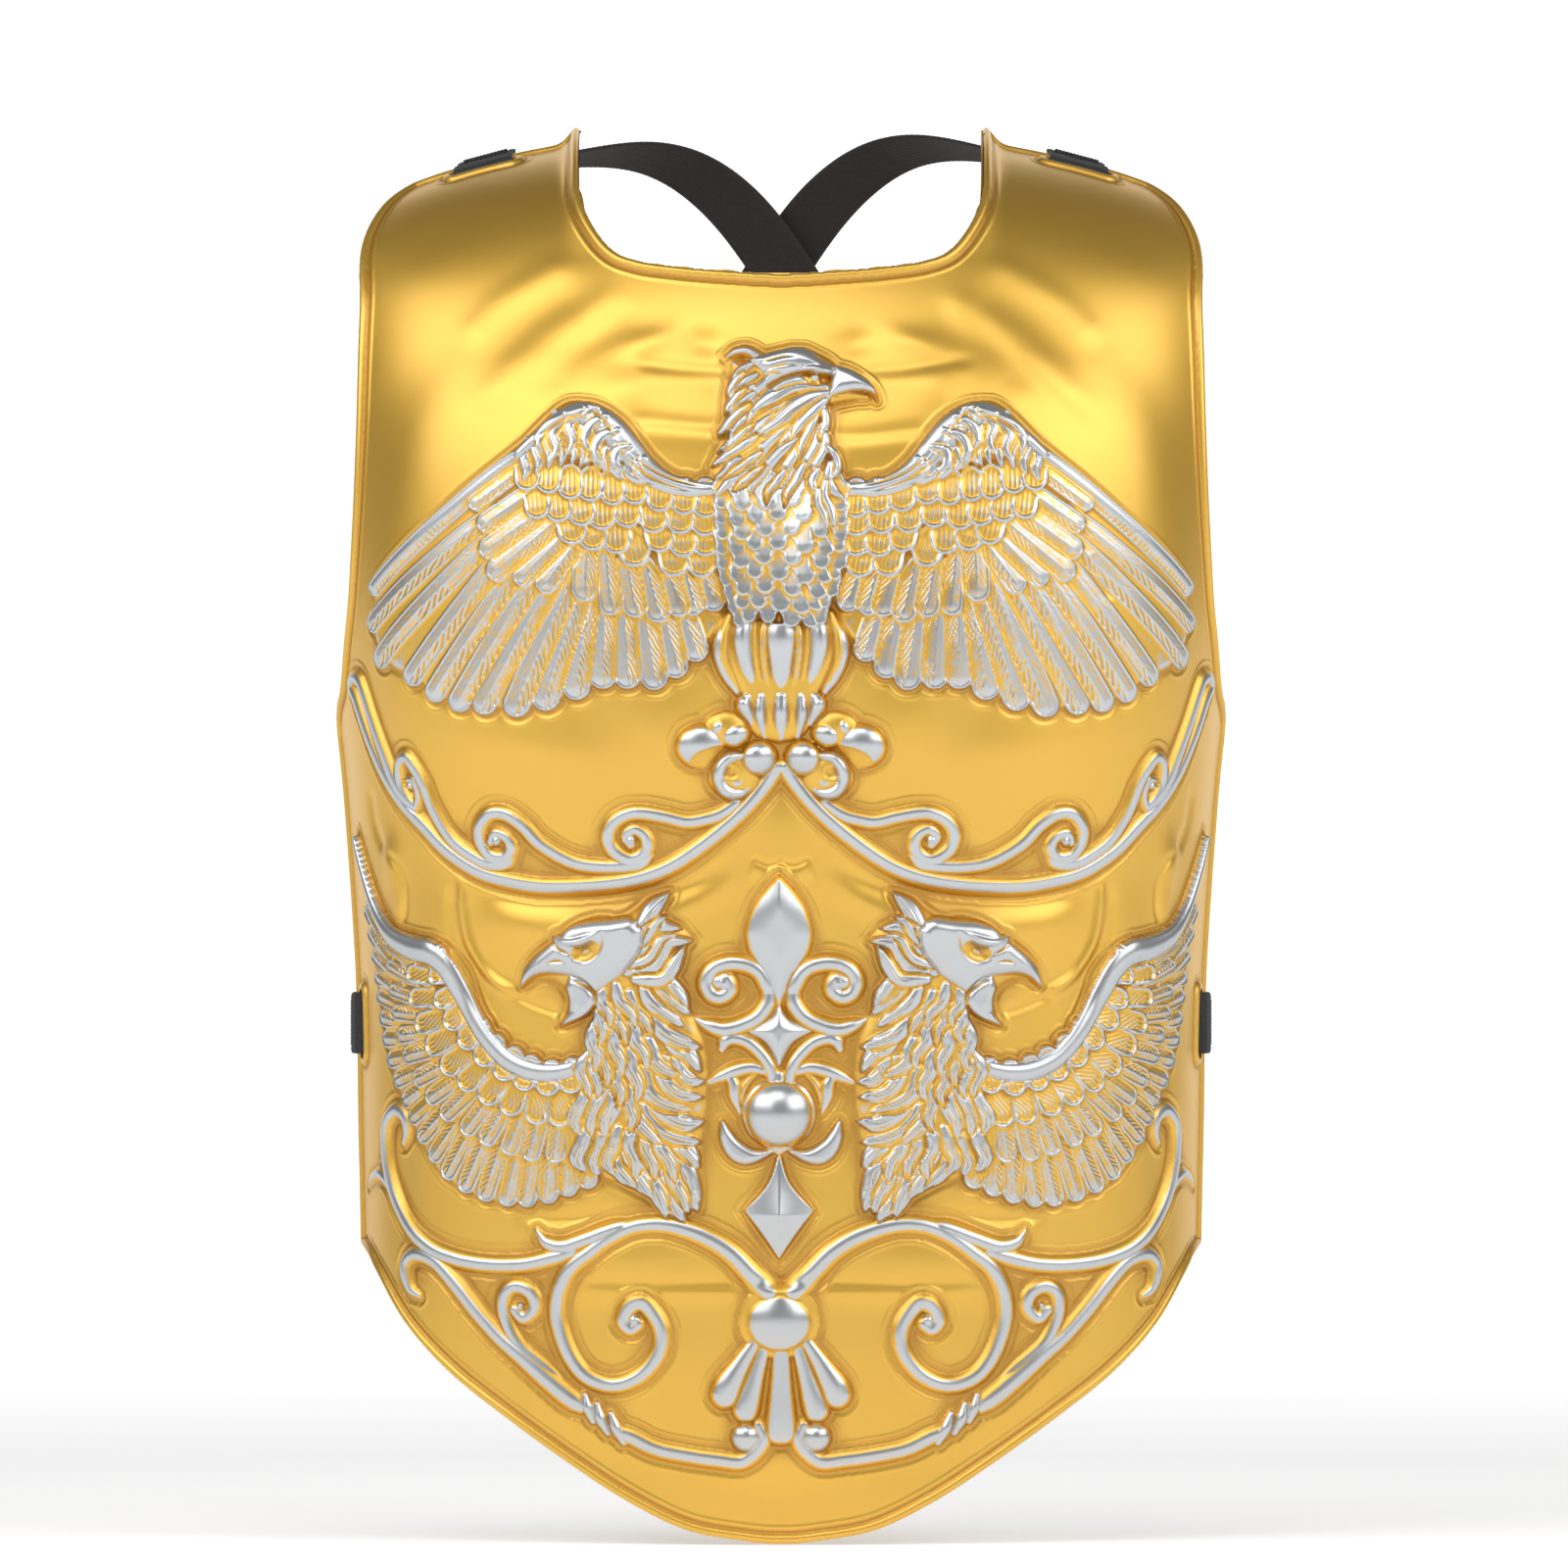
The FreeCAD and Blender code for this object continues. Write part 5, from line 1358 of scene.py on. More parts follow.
griffin = {
    "wingGround": [
        [
            (361, 850), (369, 880), (382, 917), (394, 945), (410, 958), (432, 964), (448, 966), (462, 974),
            (475, 994), (486, 1022), (500, 1047), (520, 1070), (544, 1084), (570, 1086), (592, 1078),
            (606, 1076),
        ],
        [
            (606, 1076), (612, 1120), (606, 1160), (608, 1204), (590, 1212), (565, 1220), (530, 1226),
            (500, 1222), (476, 1212), (452, 1196), (432, 1164), (416, 1132), (404, 1100), (396, 1060),
            (390, 1020), (384, 985), (375, 930), (361, 850),
        ],
    ],
    # rows of feathers from the lowest up: tips, roots, how many, width, heights, barb pitch
    "rows": [
        (
            [
                (372, 925), (380, 975), (386, 1020), (392, 1062), (402, 1100), (414, 1130), (426, 1156),
                (442, 1184), (460, 1206), (482, 1220), (506, 1228), (532, 1231), (558, 1228), (582, 1220),
                (603, 1212),
            ],
            [
                (400, 975), (410, 1000), (420, 1025), (430, 1050), (440, 1072), (452, 1092), (466, 1108),
                (482, 1122), (498, 1132), (514, 1140), (530, 1146), (546, 1150), (562, 1152), (578, 1150),
                (592, 1146),
            ],
            21, 21, 1.8, 1.6, 2.4,
        ),
        (
            [
                (395, 960), (398, 1000), (404, 1040), (414, 1078), (430, 1110), (452, 1138), (478, 1158),
                (506, 1172), (534, 1182), (562, 1186), (590, 1182),
            ],
            [
                (425, 985), (430, 1010), (438, 1036), (448, 1060), (464, 1082), (484, 1100), (506, 1112),
                (530, 1120), (552, 1124), (574, 1124), (594, 1120),
            ],
            15, 21, 2.2, 2.5, 2.2,
        ),
        (
            [
                (418, 965), (420, 1000), (426, 1036), (440, 1068), (460, 1094), (484, 1114), (512, 1130),
                (542, 1142), (570, 1146), (598, 1142),
            ],
            [
                (440, 975), (444, 1000), (450, 1026), (464, 1050), (482, 1072), (504, 1090), (530, 1102),
                (552, 1108), (576, 1110), (598, 1106),
            ],
            12, 24, 2.7, 3.1, 2.0,
        ),
        (
            [
                (440, 970), (444, 1004), (454, 1036), (472, 1062), (496, 1086), (524, 1104), (554, 1114),
                (584, 1112),
            ],
            [
                (452, 972), (460, 996), (470, 1020), (488, 1044), (510, 1066), (536, 1082), (562, 1090),
                (586, 1088),
            ],
            10, 24, 3.0, 3.4, 2.0,
        ),
    ],
    "band": [
        (362, 856, 0.3), (372, 895, 0.45), (384, 930, 0.6), (400, 955, 0.9), (422, 967, 1.15),
        (442, 972, 1.2),
        (457, 986, 1.05), (470, 1010, 0.95), (484, 1036, 0.9), (500, 1060, 0.9), (520, 1080, 0.95),
        (545, 1091, 1.0), (570, 1092, 0.9), (592, 1086, 0.7), (602, 1080, 0.4),
    ],
    "maneGround": [
        [
            (600, 1010), (612, 1030), (604, 1062), (596, 1080), (598, 1110), (590, 1140), (594, 1170),
            (606, 1192),
            (640, 1206), (668, 1222), (680, 1240), (700, 1236),
        ],
        [
            (700, 1236), (712, 1228), (716, 1205), (714, 1180), (716, 1150), (719, 1125), (720, 1092),
            (716, 1062),
            (706, 1035), (698, 1014), (686, 996), (640, 990), (600, 1010),
        ],
    ],
    "locks": [
        # bottom fringe
        ([(676, 1196), (684, 1212), (690, 1228), (700, 1244)], 12),
        ([(660, 1190), (668, 1206), (676, 1220), (682, 1240)], 12),
        ([(642, 1176), (648, 1192), (658, 1206), (668, 1220)], 12),
        ([(624, 1172), (630, 1186), (640, 1198), (652, 1210)], 11),
        ([(692, 1180), (702, 1196), (706, 1214), (713, 1234)], 13),
        ([(684, 1188), (690, 1204), (698, 1218), (704, 1236)], 11),
        # left edge, over the wing
        ([(604, 1150), (600, 1166), (594, 1180), (600, 1194)], 14),
        ([(618, 1152), (614, 1170), (608, 1184), (614, 1198)], 12),
        ([(632, 1150), (628, 1168), (622, 1182), (630, 1198)], 11),
        ([(606, 1110), (598, 1126), (590, 1140), (594, 1156)], 13),
        ([(620, 1110), (612, 1126), (606, 1142), (606, 1158)], 12),
        ([(634, 1108), (628, 1126), (620, 1142), (620, 1160)], 12),
        ([(602, 1076), (596, 1090), (602, 1104), (604, 1120)], 11),
        ([(614, 1072), (608, 1088), (614, 1106), (612, 1120)], 10),
        # lower right
        ([(650, 1148), (646, 1166), (652, 1182), (650, 1202)], 12),
        ([(664, 1150), (660, 1168), (668, 1184), (670, 1204)], 12),
        ([(676, 1152), (676, 1170), (686, 1184), (690, 1206)], 12),
        ([(690, 1150), (694, 1166), (706, 1178), (714, 1190)], 12),
        ([(660, 1128), (668, 1146), (688, 1158), (716, 1164)], 13),
        ([(668, 1118), (680, 1134), (700, 1144), (720, 1142)], 12),
        ([(646, 1120), (650, 1138), (662, 1152), (676, 1166)], 12),
        ([(648, 1104), (644, 1122), (648, 1138), (644, 1154)], 11),
        # middle
        ([(660, 1090), (662, 1108), (676, 1122), (706, 1132)], 13),
        ([(680, 1080), (680, 1100), (694, 1114), (718, 1118)], 12),
        ([(696, 1070), (694, 1088), (704, 1100), (720, 1102)], 11),
        ([(634, 1080), (630, 1098), (636, 1114), (632, 1130)], 11),
        ([(646, 1070), (646, 1088), (654, 1104), (652, 1122)], 11),
        ([(622, 1060), (616, 1076), (622, 1092), (620, 1110)], 11),
        ([(664, 1060), (668, 1078), (680, 1090), (696, 1096)], 11),
        ([(684, 1052), (690, 1066), (704, 1076), (716, 1092)], 11),
        ([(610, 1044), (606, 1060), (612, 1076), (608, 1092)], 10),
        ([(632, 1048), (628, 1064), (636, 1080), (636, 1096)], 10),
        ([(648, 1044), (650, 1060), (660, 1074), (662, 1090)], 10),
        ([(668, 1036), (676, 1050), (692, 1060), (716, 1068)], 11),
        # neck
        ([(618, 1024), (614, 1038), (618, 1052), (612, 1066)], 9),
        ([(632, 1020), (630, 1036), (638, 1050), (640, 1066)], 9),
        ([(644, 1012), (648, 1028), (660, 1040), (668, 1056)], 10),
        ([(658, 1008), (666, 1022), (682, 1034), (700, 1046)], 10),
        ([(668, 1002), (680, 1014), (692, 1024), (706, 1034)], 10),
        ([(630, 1004), (634, 1020), (646, 1032), (650, 1048)], 9),
        ([(616, 1008), (616, 1022), (624, 1034), (624, 1048)], 9),
        ([(676, 996), (686, 1002), (694, 1012), (704, 1026)], 8),
    ],
    "headGround": [
        [
            (534, 1006), (540, 989), (553, 975), (571, 958), (583, 947), (597, 940), (615, 936), (633, 938),
            (650, 930), (664, 916), (680, 911),
        ],
        [(680, 911), (674, 926), (684, 940), (696, 948), (704, 960), (696, 968), (690, 984), (684, 1002)],
        [(684, 1002), (650, 1010), (620, 1026), (600, 1034), (574, 1045)],
        [(574, 1045), (582, 1026), (581, 1013), (572, 1002), (556, 997), (542, 1001), (534, 1006)],
    ],
    "plumes": [
        ([(640, 958), (656, 946), (666, 928), (684, 910)], 12),
        ([(640, 978), (660, 966), (668, 946), (696, 946)], 12),
        ([(642, 990), (670, 984), (682, 962), (707, 959)], 12),
        ([(650, 998), (676, 998), (688, 984), (700, 964)], 11),
        ([(644, 966), (660, 956), (672, 940), (682, 934)], 9),
        ([(646, 984), (664, 976), (676, 958), (690, 952)], 8),
        ([(630, 966), (646, 962), (656, 950), (664, 940)], 8),
    ],
    "beak": [
        [
            (533, 1007), (537, 990), (547, 977), (560, 966), (572, 957), (583, 946), (600, 940), (622, 938),
            (644, 936), (658, 948),
        ],
        [
            (658, 948), (656, 966), (646, 982), (634, 994), (620, 1004), (608, 1010), (598, 1004), (588, 996),
            (574, 993), (558, 992), (545, 996), (533, 1007),
        ],
    ],
    "jaw": [
        [(584, 994), (597, 999), (607, 1010), (608, 1023), (597, 1036), (573, 1046)],
        [(573, 1046), (581, 1034), (583, 1020), (580, 1006), (584, 994)],
    ],
    "socket": ((600, 968), (16, 9), -24, 2.0),
    "brow": [
        (570, 957, 0.6), (580, 960, 1.0), (594, 959, 1.15), (608, 953, 1.0), (622, 945, 0.7), (634, 940, 0.3),
    ],
    "creases": [
        [(586, 999), (596, 1003), (606, 1010), (612, 1022)], [(560, 982), (570, 979), (580, 980)],
        [(568, 961), (576, 968), (586, 972)], [(618, 950), (617, 962), (610, 973), (600, 979), (588, 977)],
    ],
    "eye": (600, 970),
}


def griffinWing():
    owner = ownerOf(sideName("griffin_wing"))
    covert = ownerOf(sideName("griffin_coverts"))
    ground(griffin["wingGround"], 1.3, owner)
    for index, (tips, roots, count, width, low, high, pitch) in enumerate(griffin["rows"]):
        piece = owner if index == 0 else covert
        tipLine = curve(tips, 3.0)
        rootLine = curve(roots, 3.0)
        for share in np.linspace(0.0, 1.0, count):
            tip = tipLine[int(round(share * (len(tipLine) - 1)))]
            root = rootLine[int(round(share * (len(rootLine) - 1)))]
            size = width * (0.62 + 0.38 * smooth(0.0, 0.45, share))
            if index < 2:
                feather(
                    root, tip, size + 2, piece, low, high, rim=0.6, barb=0.45, pitch=pitch, lean=1.3,
                    tilt=-0.25,
                )
            else:
                shell(root, tip, size + 4, piece, low, high, tilt=-0.5, lean=0.7)
    ridgeBand(griffin["band"], 4.4, 1.8, 2.6, 0.4, covert)


def griffinBody():
    mane = ownerOf(sideName("griffin_mane"))
    head = ownerOf(sideName("griffin_head"))
    ground(griffin["maneGround"], 2.6, mane, steep=7.0)
    for points, width in griffin["locks"]:
        level = 2.8 + 0.45 * math.sin(points[0][0] + points[0][1])
        lock(points, width * 1.5 + 2, mane, level, 1.6, split=0.6)
    ground(griffin["headGround"], 3.0, head, steep=6.0)
    for points, width in griffin["plumes"]:
        lock(points, width * 1.35 + 2, head, 3.2, 2.1, split=0.4)
    plate(griffin["beak"], 2.8, 5.6, 5.2, head)
    plate(griffin["jaw"], 2.8, 4.9, 3.4, head)
    hollow(*griffin["socket"])
    for points in griffin["creases"]:
        cutLine(points, 4.0, width=0.7, depth=1.0, wiped=0.95, blunt=0.1)
    dome(griffin["eye"], (8, 5), 5.0, head, power=0.5, turn=-20, silverFrom=0.7, silverTo=0.9, silver=0.5)
    stroke(griffin["brow"], 5.4, 6.3, head, silverFrom=0.1, silverTo=0.4, power=0.55)


bothSides(griffinWing)
bothSides(griffinBody)
report("griffins")


# Fine relief: silver is rubbed on what stands out, and what lies back gets darker gold, partly as settled
# paint and partly as painted shade

rubbing = {"level": 0.42, "detail": 1.25, "wide": 0.45}


def cells(size):
    # How many cells of the grid a size in mm is
    return int(round(size / grid["step"]))


def rubFine():
    detail = sheet.relief - blurred(sheet.relief, max(1, cells(1.3)))
    wide = sheet.relief - blurred(sheet.relief, max(2, cells(2.6)))
    crest = rubbing["level"] + sheet.shine + rubbing["detail"] * detail + rubbing["wide"] * wide
    crest = np.clip(crest, 0, 1)
    sheet.silver = sheet.silver * (1 - sheet.fine) + crest * sheet.fine
    # Painted shade with settled paint: the relief's hollows get the dark gold
    hollowPaintAndShade = smooth(0.08, 0.6, -detail) * sheet.cover
    sheet.settledPaintAndShade = np.maximum(sheet.settledPaintAndShade, hollowPaintAndShade * (1 - 0.6 * sheet.fine))


# Rolled edge, and the thin line that follows every ornament

contour = {"reach": 7.0, "valley": 0.35, "valleyAt": 1.3, "ridge": 0.3, "ridgeAt": 3.1, "ridgeWidth": 0.62}


def rollEdges():
    away = sheet.edgeAway
    rolled = np.clip(1 - ((away - edges["beadAt"]) / edges["beadHalf"]) ** 2, 0, 1) ** 0.7
    bead = edges["beadHeight"] * rolled - 0.5 * smooth(1.0, 0, away)
    bead -= edges["grooveDepth"] * np.exp(-((away - edges["grooveAt"]) / edges["lineWidth"]) ** 2)
    bead += edges["innerHeight"] * np.exp(-((away - edges["innerAt"]) / edges["lineWidth"]) ** 2)
    clear = 1 - smooth(0.2, 0.9, sheet.cover) * smooth(2.0, 5.0, away)
    sheet.relief = sheet.relief + bead * clear
    # Painted shade with settled paint: a dark line in the groove behind the bead
    sheet.settledPaintAndShade = np.maximum(sheet.settledPaintAndShade, np.exp(-((away - 4.6) / 0.8) ** 2) * clear)


def outlineOrnament():
    away = distanceTo(crossings(sheet.cover - 0.5), contour["reach"])
    outside = sheet.cover < 0.5
    ridge = contour["ridge"] * np.exp(-((away - contour["ridgeAt"]) / contour["ridgeWidth"]) ** 2)
    valley = contour["valley"] * np.exp(-((away - contour["valleyAt"]) / 0.8) ** 2)
    clear = smooth(5.0, 8.0, sheet.edgeAway) * outside
    feathered = blurred(sheet.fine, cells(4.0))
    ridge = ridge * (1 - 0.85 * smooth(0.03, 0.25, feathered))
    sheet.relief = sheet.relief + (ridge - valley) * clear
    # Painted shade with settled paint: a dark ring round the foot of every ornament
    sheet.settledPaintAndShade = np.maximum(sheet.settledPaintAndShade, np.exp(-((away - 0.9) / 0.8) ** 2) * outside * 0.62)
    # Painted shade, with some settled paint: the ground is darker where ornament crowds round it
    crowd = blurred(sheet.cover, cells(6.0))
    sheet.settledPaintAndShade = np.maximum(sheet.settledPaintAndShade, 0.8 * smooth(0.15, 0.6, crowd) * outside)


rubFine()
outlineOrnament()
rollEdges()
report("edge and outline")


# Pieces: the sheet's front in parts, one for each CAD node, its back and its cut edge

def finishPoints():
    height = sheet.form + sheet.relief
    sheet.front = sheet.base + sheet.normal * height[..., None]
    sheet.frontNormal = gridNormals(sheet.front)
    radius = max(1, int(1.6 / grid["step"]))
    backHeight = sheet.form + blurred(sheet.relief, radius) * 0.75 - body["thickness"]
    sheet.back = sheet.base + sheet.normal * np.minimum(backHeight, height - 0.8)[..., None]
    sheet.backNormal = -gridNormals(sheet.back)


finishPoints()


def clipCell(field, row, column, step=1):
    # Corners of the part of a cell that lies inside, each as (row, column) places
    corners = ((0, 0), (step, 0), (step, step), (0, step))
    polygon = []
    for index in range(4):
        one = (row + corners[index][0], column + corners[index][1])
        other = (row + corners[(index + 1) % 4][0], column + corners[(index + 1) % 4][1])
        start, end = field[one], field[other]
        if start > 0:
            polygon.append((one, one, 0.0))
        if (start > 0) != (end > 0):
            if one <= other:
                polygon.append((one, other, start / (start - end)))
            else:
                polygon.append((other, one, end / (end - start)))
    return polygon


def addPiece(name, mesh):
    piece = bpy.data.objects.new(name, mesh)
    bpy.context.scene.collection.objects.link(piece)
    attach(piece, "root")
    return piece


def makeMesh(name, points, normals, faces, values, uv):
    # faces is a list of arrays, each of faces with the same number of corners
    mesh = bpy.data.meshes.new(name)
    mesh.vertices.add(len(points))
    mesh.vertices.foreach_set("co", (points / 1000.0).astype(np.float32).ravel())
    counts = np.concatenate([np.full(len(group), group.shape[1]) for group in faces])
    corners = np.concatenate([group.ravel() for group in faces]).astype(np.int32)
    mesh.loops.add(len(corners))
    mesh.loops.foreach_set("vertex_index", corners)
    mesh.polygons.add(len(counts))
    mesh.polygons.foreach_set("loop_start", np.concatenate([[0], np.cumsum(counts)[:-1]]).astype(np.int32))
    mesh.polygons.foreach_set("loop_total", counts.astype(np.int32))
    mesh.polygons.foreach_set("use_smooth", np.ones(len(counts), bool))
    for key, value in values.items():
        mesh.attributes.new(key, "FLOAT", "POINT").data.foreach_set("value", value.astype(np.float32))
    layer = mesh.uv_layers.new(name="OFBake")
    low = uv.min(0)
    span = max((uv.max(0) - low).max(), 1e-6)
    layer.data.foreach_set("uv", ((uv - low) / span * 0.98 + 0.01)[corners].astype(np.float32).ravel())
    mesh.update()
    mesh.validate()
    mesh.normals_split_custom_set_from_vertices(normals.astype(np.float32))
    return addPiece(name, mesh)


def clippedFaces(field, step=1):
    # Every cell that the edge crosses, as faces of shared corners, and the straight pieces of the edge
    inside = field[::step, ::step] > 0
    mixed = inside[:-1, :-1].astype(int) + inside[1:, :-1] + inside[:-1, 1:] + inside[1:, 1:]
    rows, columns = np.nonzero((mixed > 0) & (mixed < 4))
    polygons = []
    for row, column in zip(rows * step, columns * step):
        polygon = clipCell(field, row, column, step)
        if len(polygon) >= 3:
            polygons.append(((row, column), polygon))
    return mixed == 4, polygons


def mixAt(data, corner):
    one, other, share = corner
    return data[one] * (1 - share) + data[other] * share


def sheetPart(name, whole, polygons, points, normals, values, step=1, flip=False):
    # whole is a mask of the cells that lie inside, polygons are the clipped ones
    rows, columns = np.nonzero(whole)
    rows, columns = rows * step, columns * step
    width = points.shape[1]
    quads = np.stack([
        rows * width + columns, (rows + step) * width + columns,
        (rows + step) * width + columns + step, rows * width + columns + step,
    ], 1)
    used = np.unique(quads)
    index = {}
    extra = []
    groups = {}
    table = np.full(points.shape[0] * width, -1, np.int64)
    table[used] = np.arange(len(used))
    count = len(used)
    for _, polygon in polygons:
        face = []
        for corner in polygon:
            one, other, share = corner
            if one == other:
                key = one[0] * width + one[1]
                if table[key] < 0:
                    table[key] = count
                    extra.append(corner)
                    count += 1
                face.append(table[key])
            else:
                if corner not in index:
                    index[corner] = count
                    extra.append(corner)
                    count += 1
                face.append(index[corner])
        groups.setdefault(len(face), []).append(face[::-1] if flip else face)
    faces = [table[quads][:, ::-1] if flip else table[quads]] if len(quads) else []
    faces += [np.array(group) for group in groups.values()]
    if not faces:
        return None

    def gathered(data):
        flat = data.reshape(points.shape[0] * width, -1)[used]
        if not extra:
            return flat
        return np.vstack([flat, np.array([np.atleast_1d(mixAt(data, corner)) for corner in extra])])

    place = np.stack(np.broadcast_arrays(sheet.a[None], -sheet.b[:, None]), -1)
    data = {key: gathered(value)[:, 0] for key, value in values.items()}
    return makeMesh(name, gathered(points), gathered(normals), faces, data, gathered(place))


zones = {"across": 4, "down": 5}


def buildFront():
    whole, polygons = clippedFaces(sheet.region)
    owner = sheet.owner[:-1, :-1]
    values = {"silver": sheet.silver, "settledPaintAndShade": sheet.settledPaintAndShade}
    made = {}
    for index, name in enumerate(sheet.owners):
        if index == 0:
            continue
        mine = whole & (owner == index)
        parts = [polygon for polygon in polygons if owner[polygon[0]] == index]
        if mine.any() or parts:
            made[name] = [sheetPart(name + "_face", mine, parts, sheet.front, sheet.frontNormal, values)]
    rows, columns = np.nonzero(whole)
    rowCuts = np.linspace(rows.min(), rows.max() + 1, zones["down"] + 1).astype(int)
    columnCuts = np.linspace(columns.min(), columns.max() + 1, zones["across"] + 1).astype(int)
    made["front_shell"] = []
    for down in range(zones["down"]):
        for across in range(zones["across"]):
            low = (rowCuts[down] if down else 0, columnCuts[across] if across else 0)
            high = (
                rowCuts[down + 1] if down + 1 < zones["down"] else owner.shape[0],
                columnCuts[across + 1] if across + 1 < zones["across"] else owner.shape[1],
            )
            zone = np.zeros(owner.shape, bool)
            zone[low[0]:high[0], low[1]:high[1]] = True
            plain = whole & zone & (owner == 0)
            parts = [part for part in polygons if zone[part[0]] and owner[part[0]] == 0]
            label = f"sheet_{down + 1}_{across + 1}"
            piece = sheetPart(label, plain, parts, sheet.front, sheet.frontNormal, values)
            if piece:
                made["front_shell"].append(piece)
    return made, polygons


def buildBack():
    step = grid["backEvery"]
    whole, polygons = clippedFaces(sheet.region, step)
    values = {"silver": sheet.silver * 0, "settledPaintAndShade": sheet.settledPaintAndShade * 0}
    return sheetPart("sheet_back", whole, polygons, sheet.back, sheet.backNormal, values, step, flip=True)


def buildCutEdge(polygons):
    # A narrow wall from the front to the back along every free edge
    points, normals, faces, uv = [], [], [], []
    for _, polygon in polygons:
        edge = [corner for corner in polygon if corner[0] != corner[1]]
        for position, corner in enumerate(polygon):
            following = polygon[(position + 1) % len(polygon)]
            if corner[0] == corner[1] or following[0] == following[1]:
                continue
            if len(edge) > 2 and position % 2 == 0 and len(polygon) == 6:
                continue
            start = len(points)
            ring = []
            for one in (corner, following):
                front = mixAt(sheet.front, one)
                ring.append((front, front - mixAt(sheet.frontNormal, one) * body["thickness"], one))
            out = np.cross(ring[1][0] - ring[0][0], ring[0][1] - ring[0][0])
            out = out / max(np.linalg.norm(out), 1e-9)
            for front, back, one in ring:
                points += [front, back]
                normals += [out, out]
                flat = (
                    mixAt(np.broadcast_to(sheet.a[None], sheet.region.shape), one),
                    -mixAt(np.broadcast_to(sheet.b[:, None], sheet.region.shape), one),
                )
                uv += [flat, (flat[0] + 1.0, flat[1] + 1.0)]
            faces.append((start, start + 1, start + 3, start + 2))
    count = len(points)
    return makeMesh(
        "sheet_edge", np.array(points), np.array(normals), [np.array(faces)],
        {"silver": np.zeros(count), "settledPaintAndShade": np.zeros(count)}, np.array(uv),
    )


made, clipped = buildFront()
sheetBack = buildBack()
sheetEdge = buildCutEdge(clipped)
made["front_shell"] += [sheetBack, sheetEdge]
report("pieces of the sheet")
print("faces", sum(len(piece.data.polygons) for pieces in made.values() for piece in pieces))


# Straps: two woven elastic bands that leave by the slots and cross behind, sewn down at both ends

straps = {
    "width": 25.0, "thickness": 1.6, "pitch": 1.25, "ribs": 12, "ribHeight": 0.13, "weave": 0.05,
    "columns": 37, "samples": 900,
    # stops of the route, in mm; the over strap passes outside the under one
    "shoulder": [
        (-121.5, 37.5, 10.6), (-121.5, 34.6, 10.0), (-121.5, 19.9, 7.0), (-122.6, 9.5, 8.9),
        (-122.6, 1.5, 7.3),
        (-122.6, -2.3, 6.5), (-122.6, -5.6, 5.8), (-121.1, -4.5, 0.2), (-121.1, -1.1, 0.9),
        (-121.1, 2.6, 1.7),
        (-121.1, 8.5, 2.9), (-121.1, 20.2, 5.2), (-121.1, 37.9, 8.8),
    ],
    "shoulderBreadth": (0.966, 0.0, 0.258),
    "under": [
        (-112.0, 40.1, 8.9, 0.51, -0.85, 0.17), (-95.9, 52.9, 8.9, 0.53, -0.81, 0.24),
        (-74.0, 66.0, 12.8, 0.45, -0.83, 0.34), (-46.0, 82.0, 12.8, 0.55, -0.67, 0.51),
        (-15.9, 98.0, -7.8, 0.77, -0.32, 0.55), (11.9, 109.0, -51.8, 0.86, -0.10, 0.50),
        (44.0, 114.9, -108.1, 0.86, -0.09, 0.50), (80.0, 110.0, -168.2, 0.80, -0.25, 0.54),
        (114.0, 95.0, -222.2, 0.70, -0.41, 0.58), (143.0, 70.1, -271.8, 0.56, -0.56, 0.62),
        (163.1, 44.0, -311.9, 0.33, -0.70, 0.63), (171.0, 26.0, -335.9, 0.08, -0.80, 0.59),
    ],
    "over": [
        (-112.0, 40.1, 8.9, 0.51, -0.84, 0.17), (-96.2, 53.1, 9.8, 0.53, -0.81, 0.25),
        (-74.7, 66.6, 15.3, 0.47, -0.82, 0.34), (-46.4, 84.4, 16.5, 0.57, -0.65, 0.50),
        (-15.9, 101.7, -5.6, 0.78, -0.31, 0.54), (11.9, 113.3, -50.9, 0.86, -0.10, 0.49),
        (44.3, 119.3, -107.8, 0.86, -0.09, 0.51), (81.3, 114.2, -168.2, 0.80, -0.25, 0.55),
        (116.2, 98.8, -222.2, 0.70, -0.40, 0.59), (144.8, 71.9, -271.8, 0.55, -0.55, 0.63),
        (163.9, 44.4, -311.9, 0.33, -0.70, 0.63), (171.0, 26.0, -335.9, 0.08, -0.80, 0.60),
    ],
    "side": [
        (174.1, 19.9, -346), (170.7, 2.2, -346), (168.4, -9.6, -346), (167.2, -15.4, -346),
        (166.5, -19.2, -346),
        (165.8, -22.5, -346), (173.6, -24.1, -346), (174.2, -20.7, -346), (175.0, -17.0, -346),
        (176.5, -8.9, -346), (172.5, 1.9, -346), (175.4, 16.6, -346), (176.0, 19.5, -346),
    ],
    "sideBreadth": (0.0, 0.0, 1.0),
}
# The frames that the tacks sit in: origin, along the strap, out of the skin, across the strap
tacks = {
    "shoulder_tack": [
        (-122.0, -4.0, 3.973), (0.0, 0.98, 0.199), (-0.253, -0.192, 0.947), (0.966, 0.0, 0.258),
    ],
    "side_tack": [(169.686, -22.044, -346.0), (0.192, 0.981, 0.0), (0.981, -0.192, 0.0), (0.0, 0.0, 1.0)],
    "run": 37.5, "rise": -0.75, "length": 18.6, "width": 2.5, "stitches": 25, "thread": 0.27, "top": 0.5,
}


def plainMesh(name, points, faces, mirror):
    points = np.array(points, float)
    if mirror:
        points[:, 0] *= -1
        faces = [face[::-1] for face in faces]
    mesh = bpy.data.meshes.new(name)
    mesh.from_pydata((points / 1000.0).tolist(), [], [list(map(int, face)) for face in faces])
    mesh.polygons.foreach_set("use_smooth", np.ones(len(faces), bool))
    mesh.update()
    return addPiece(name, mesh)


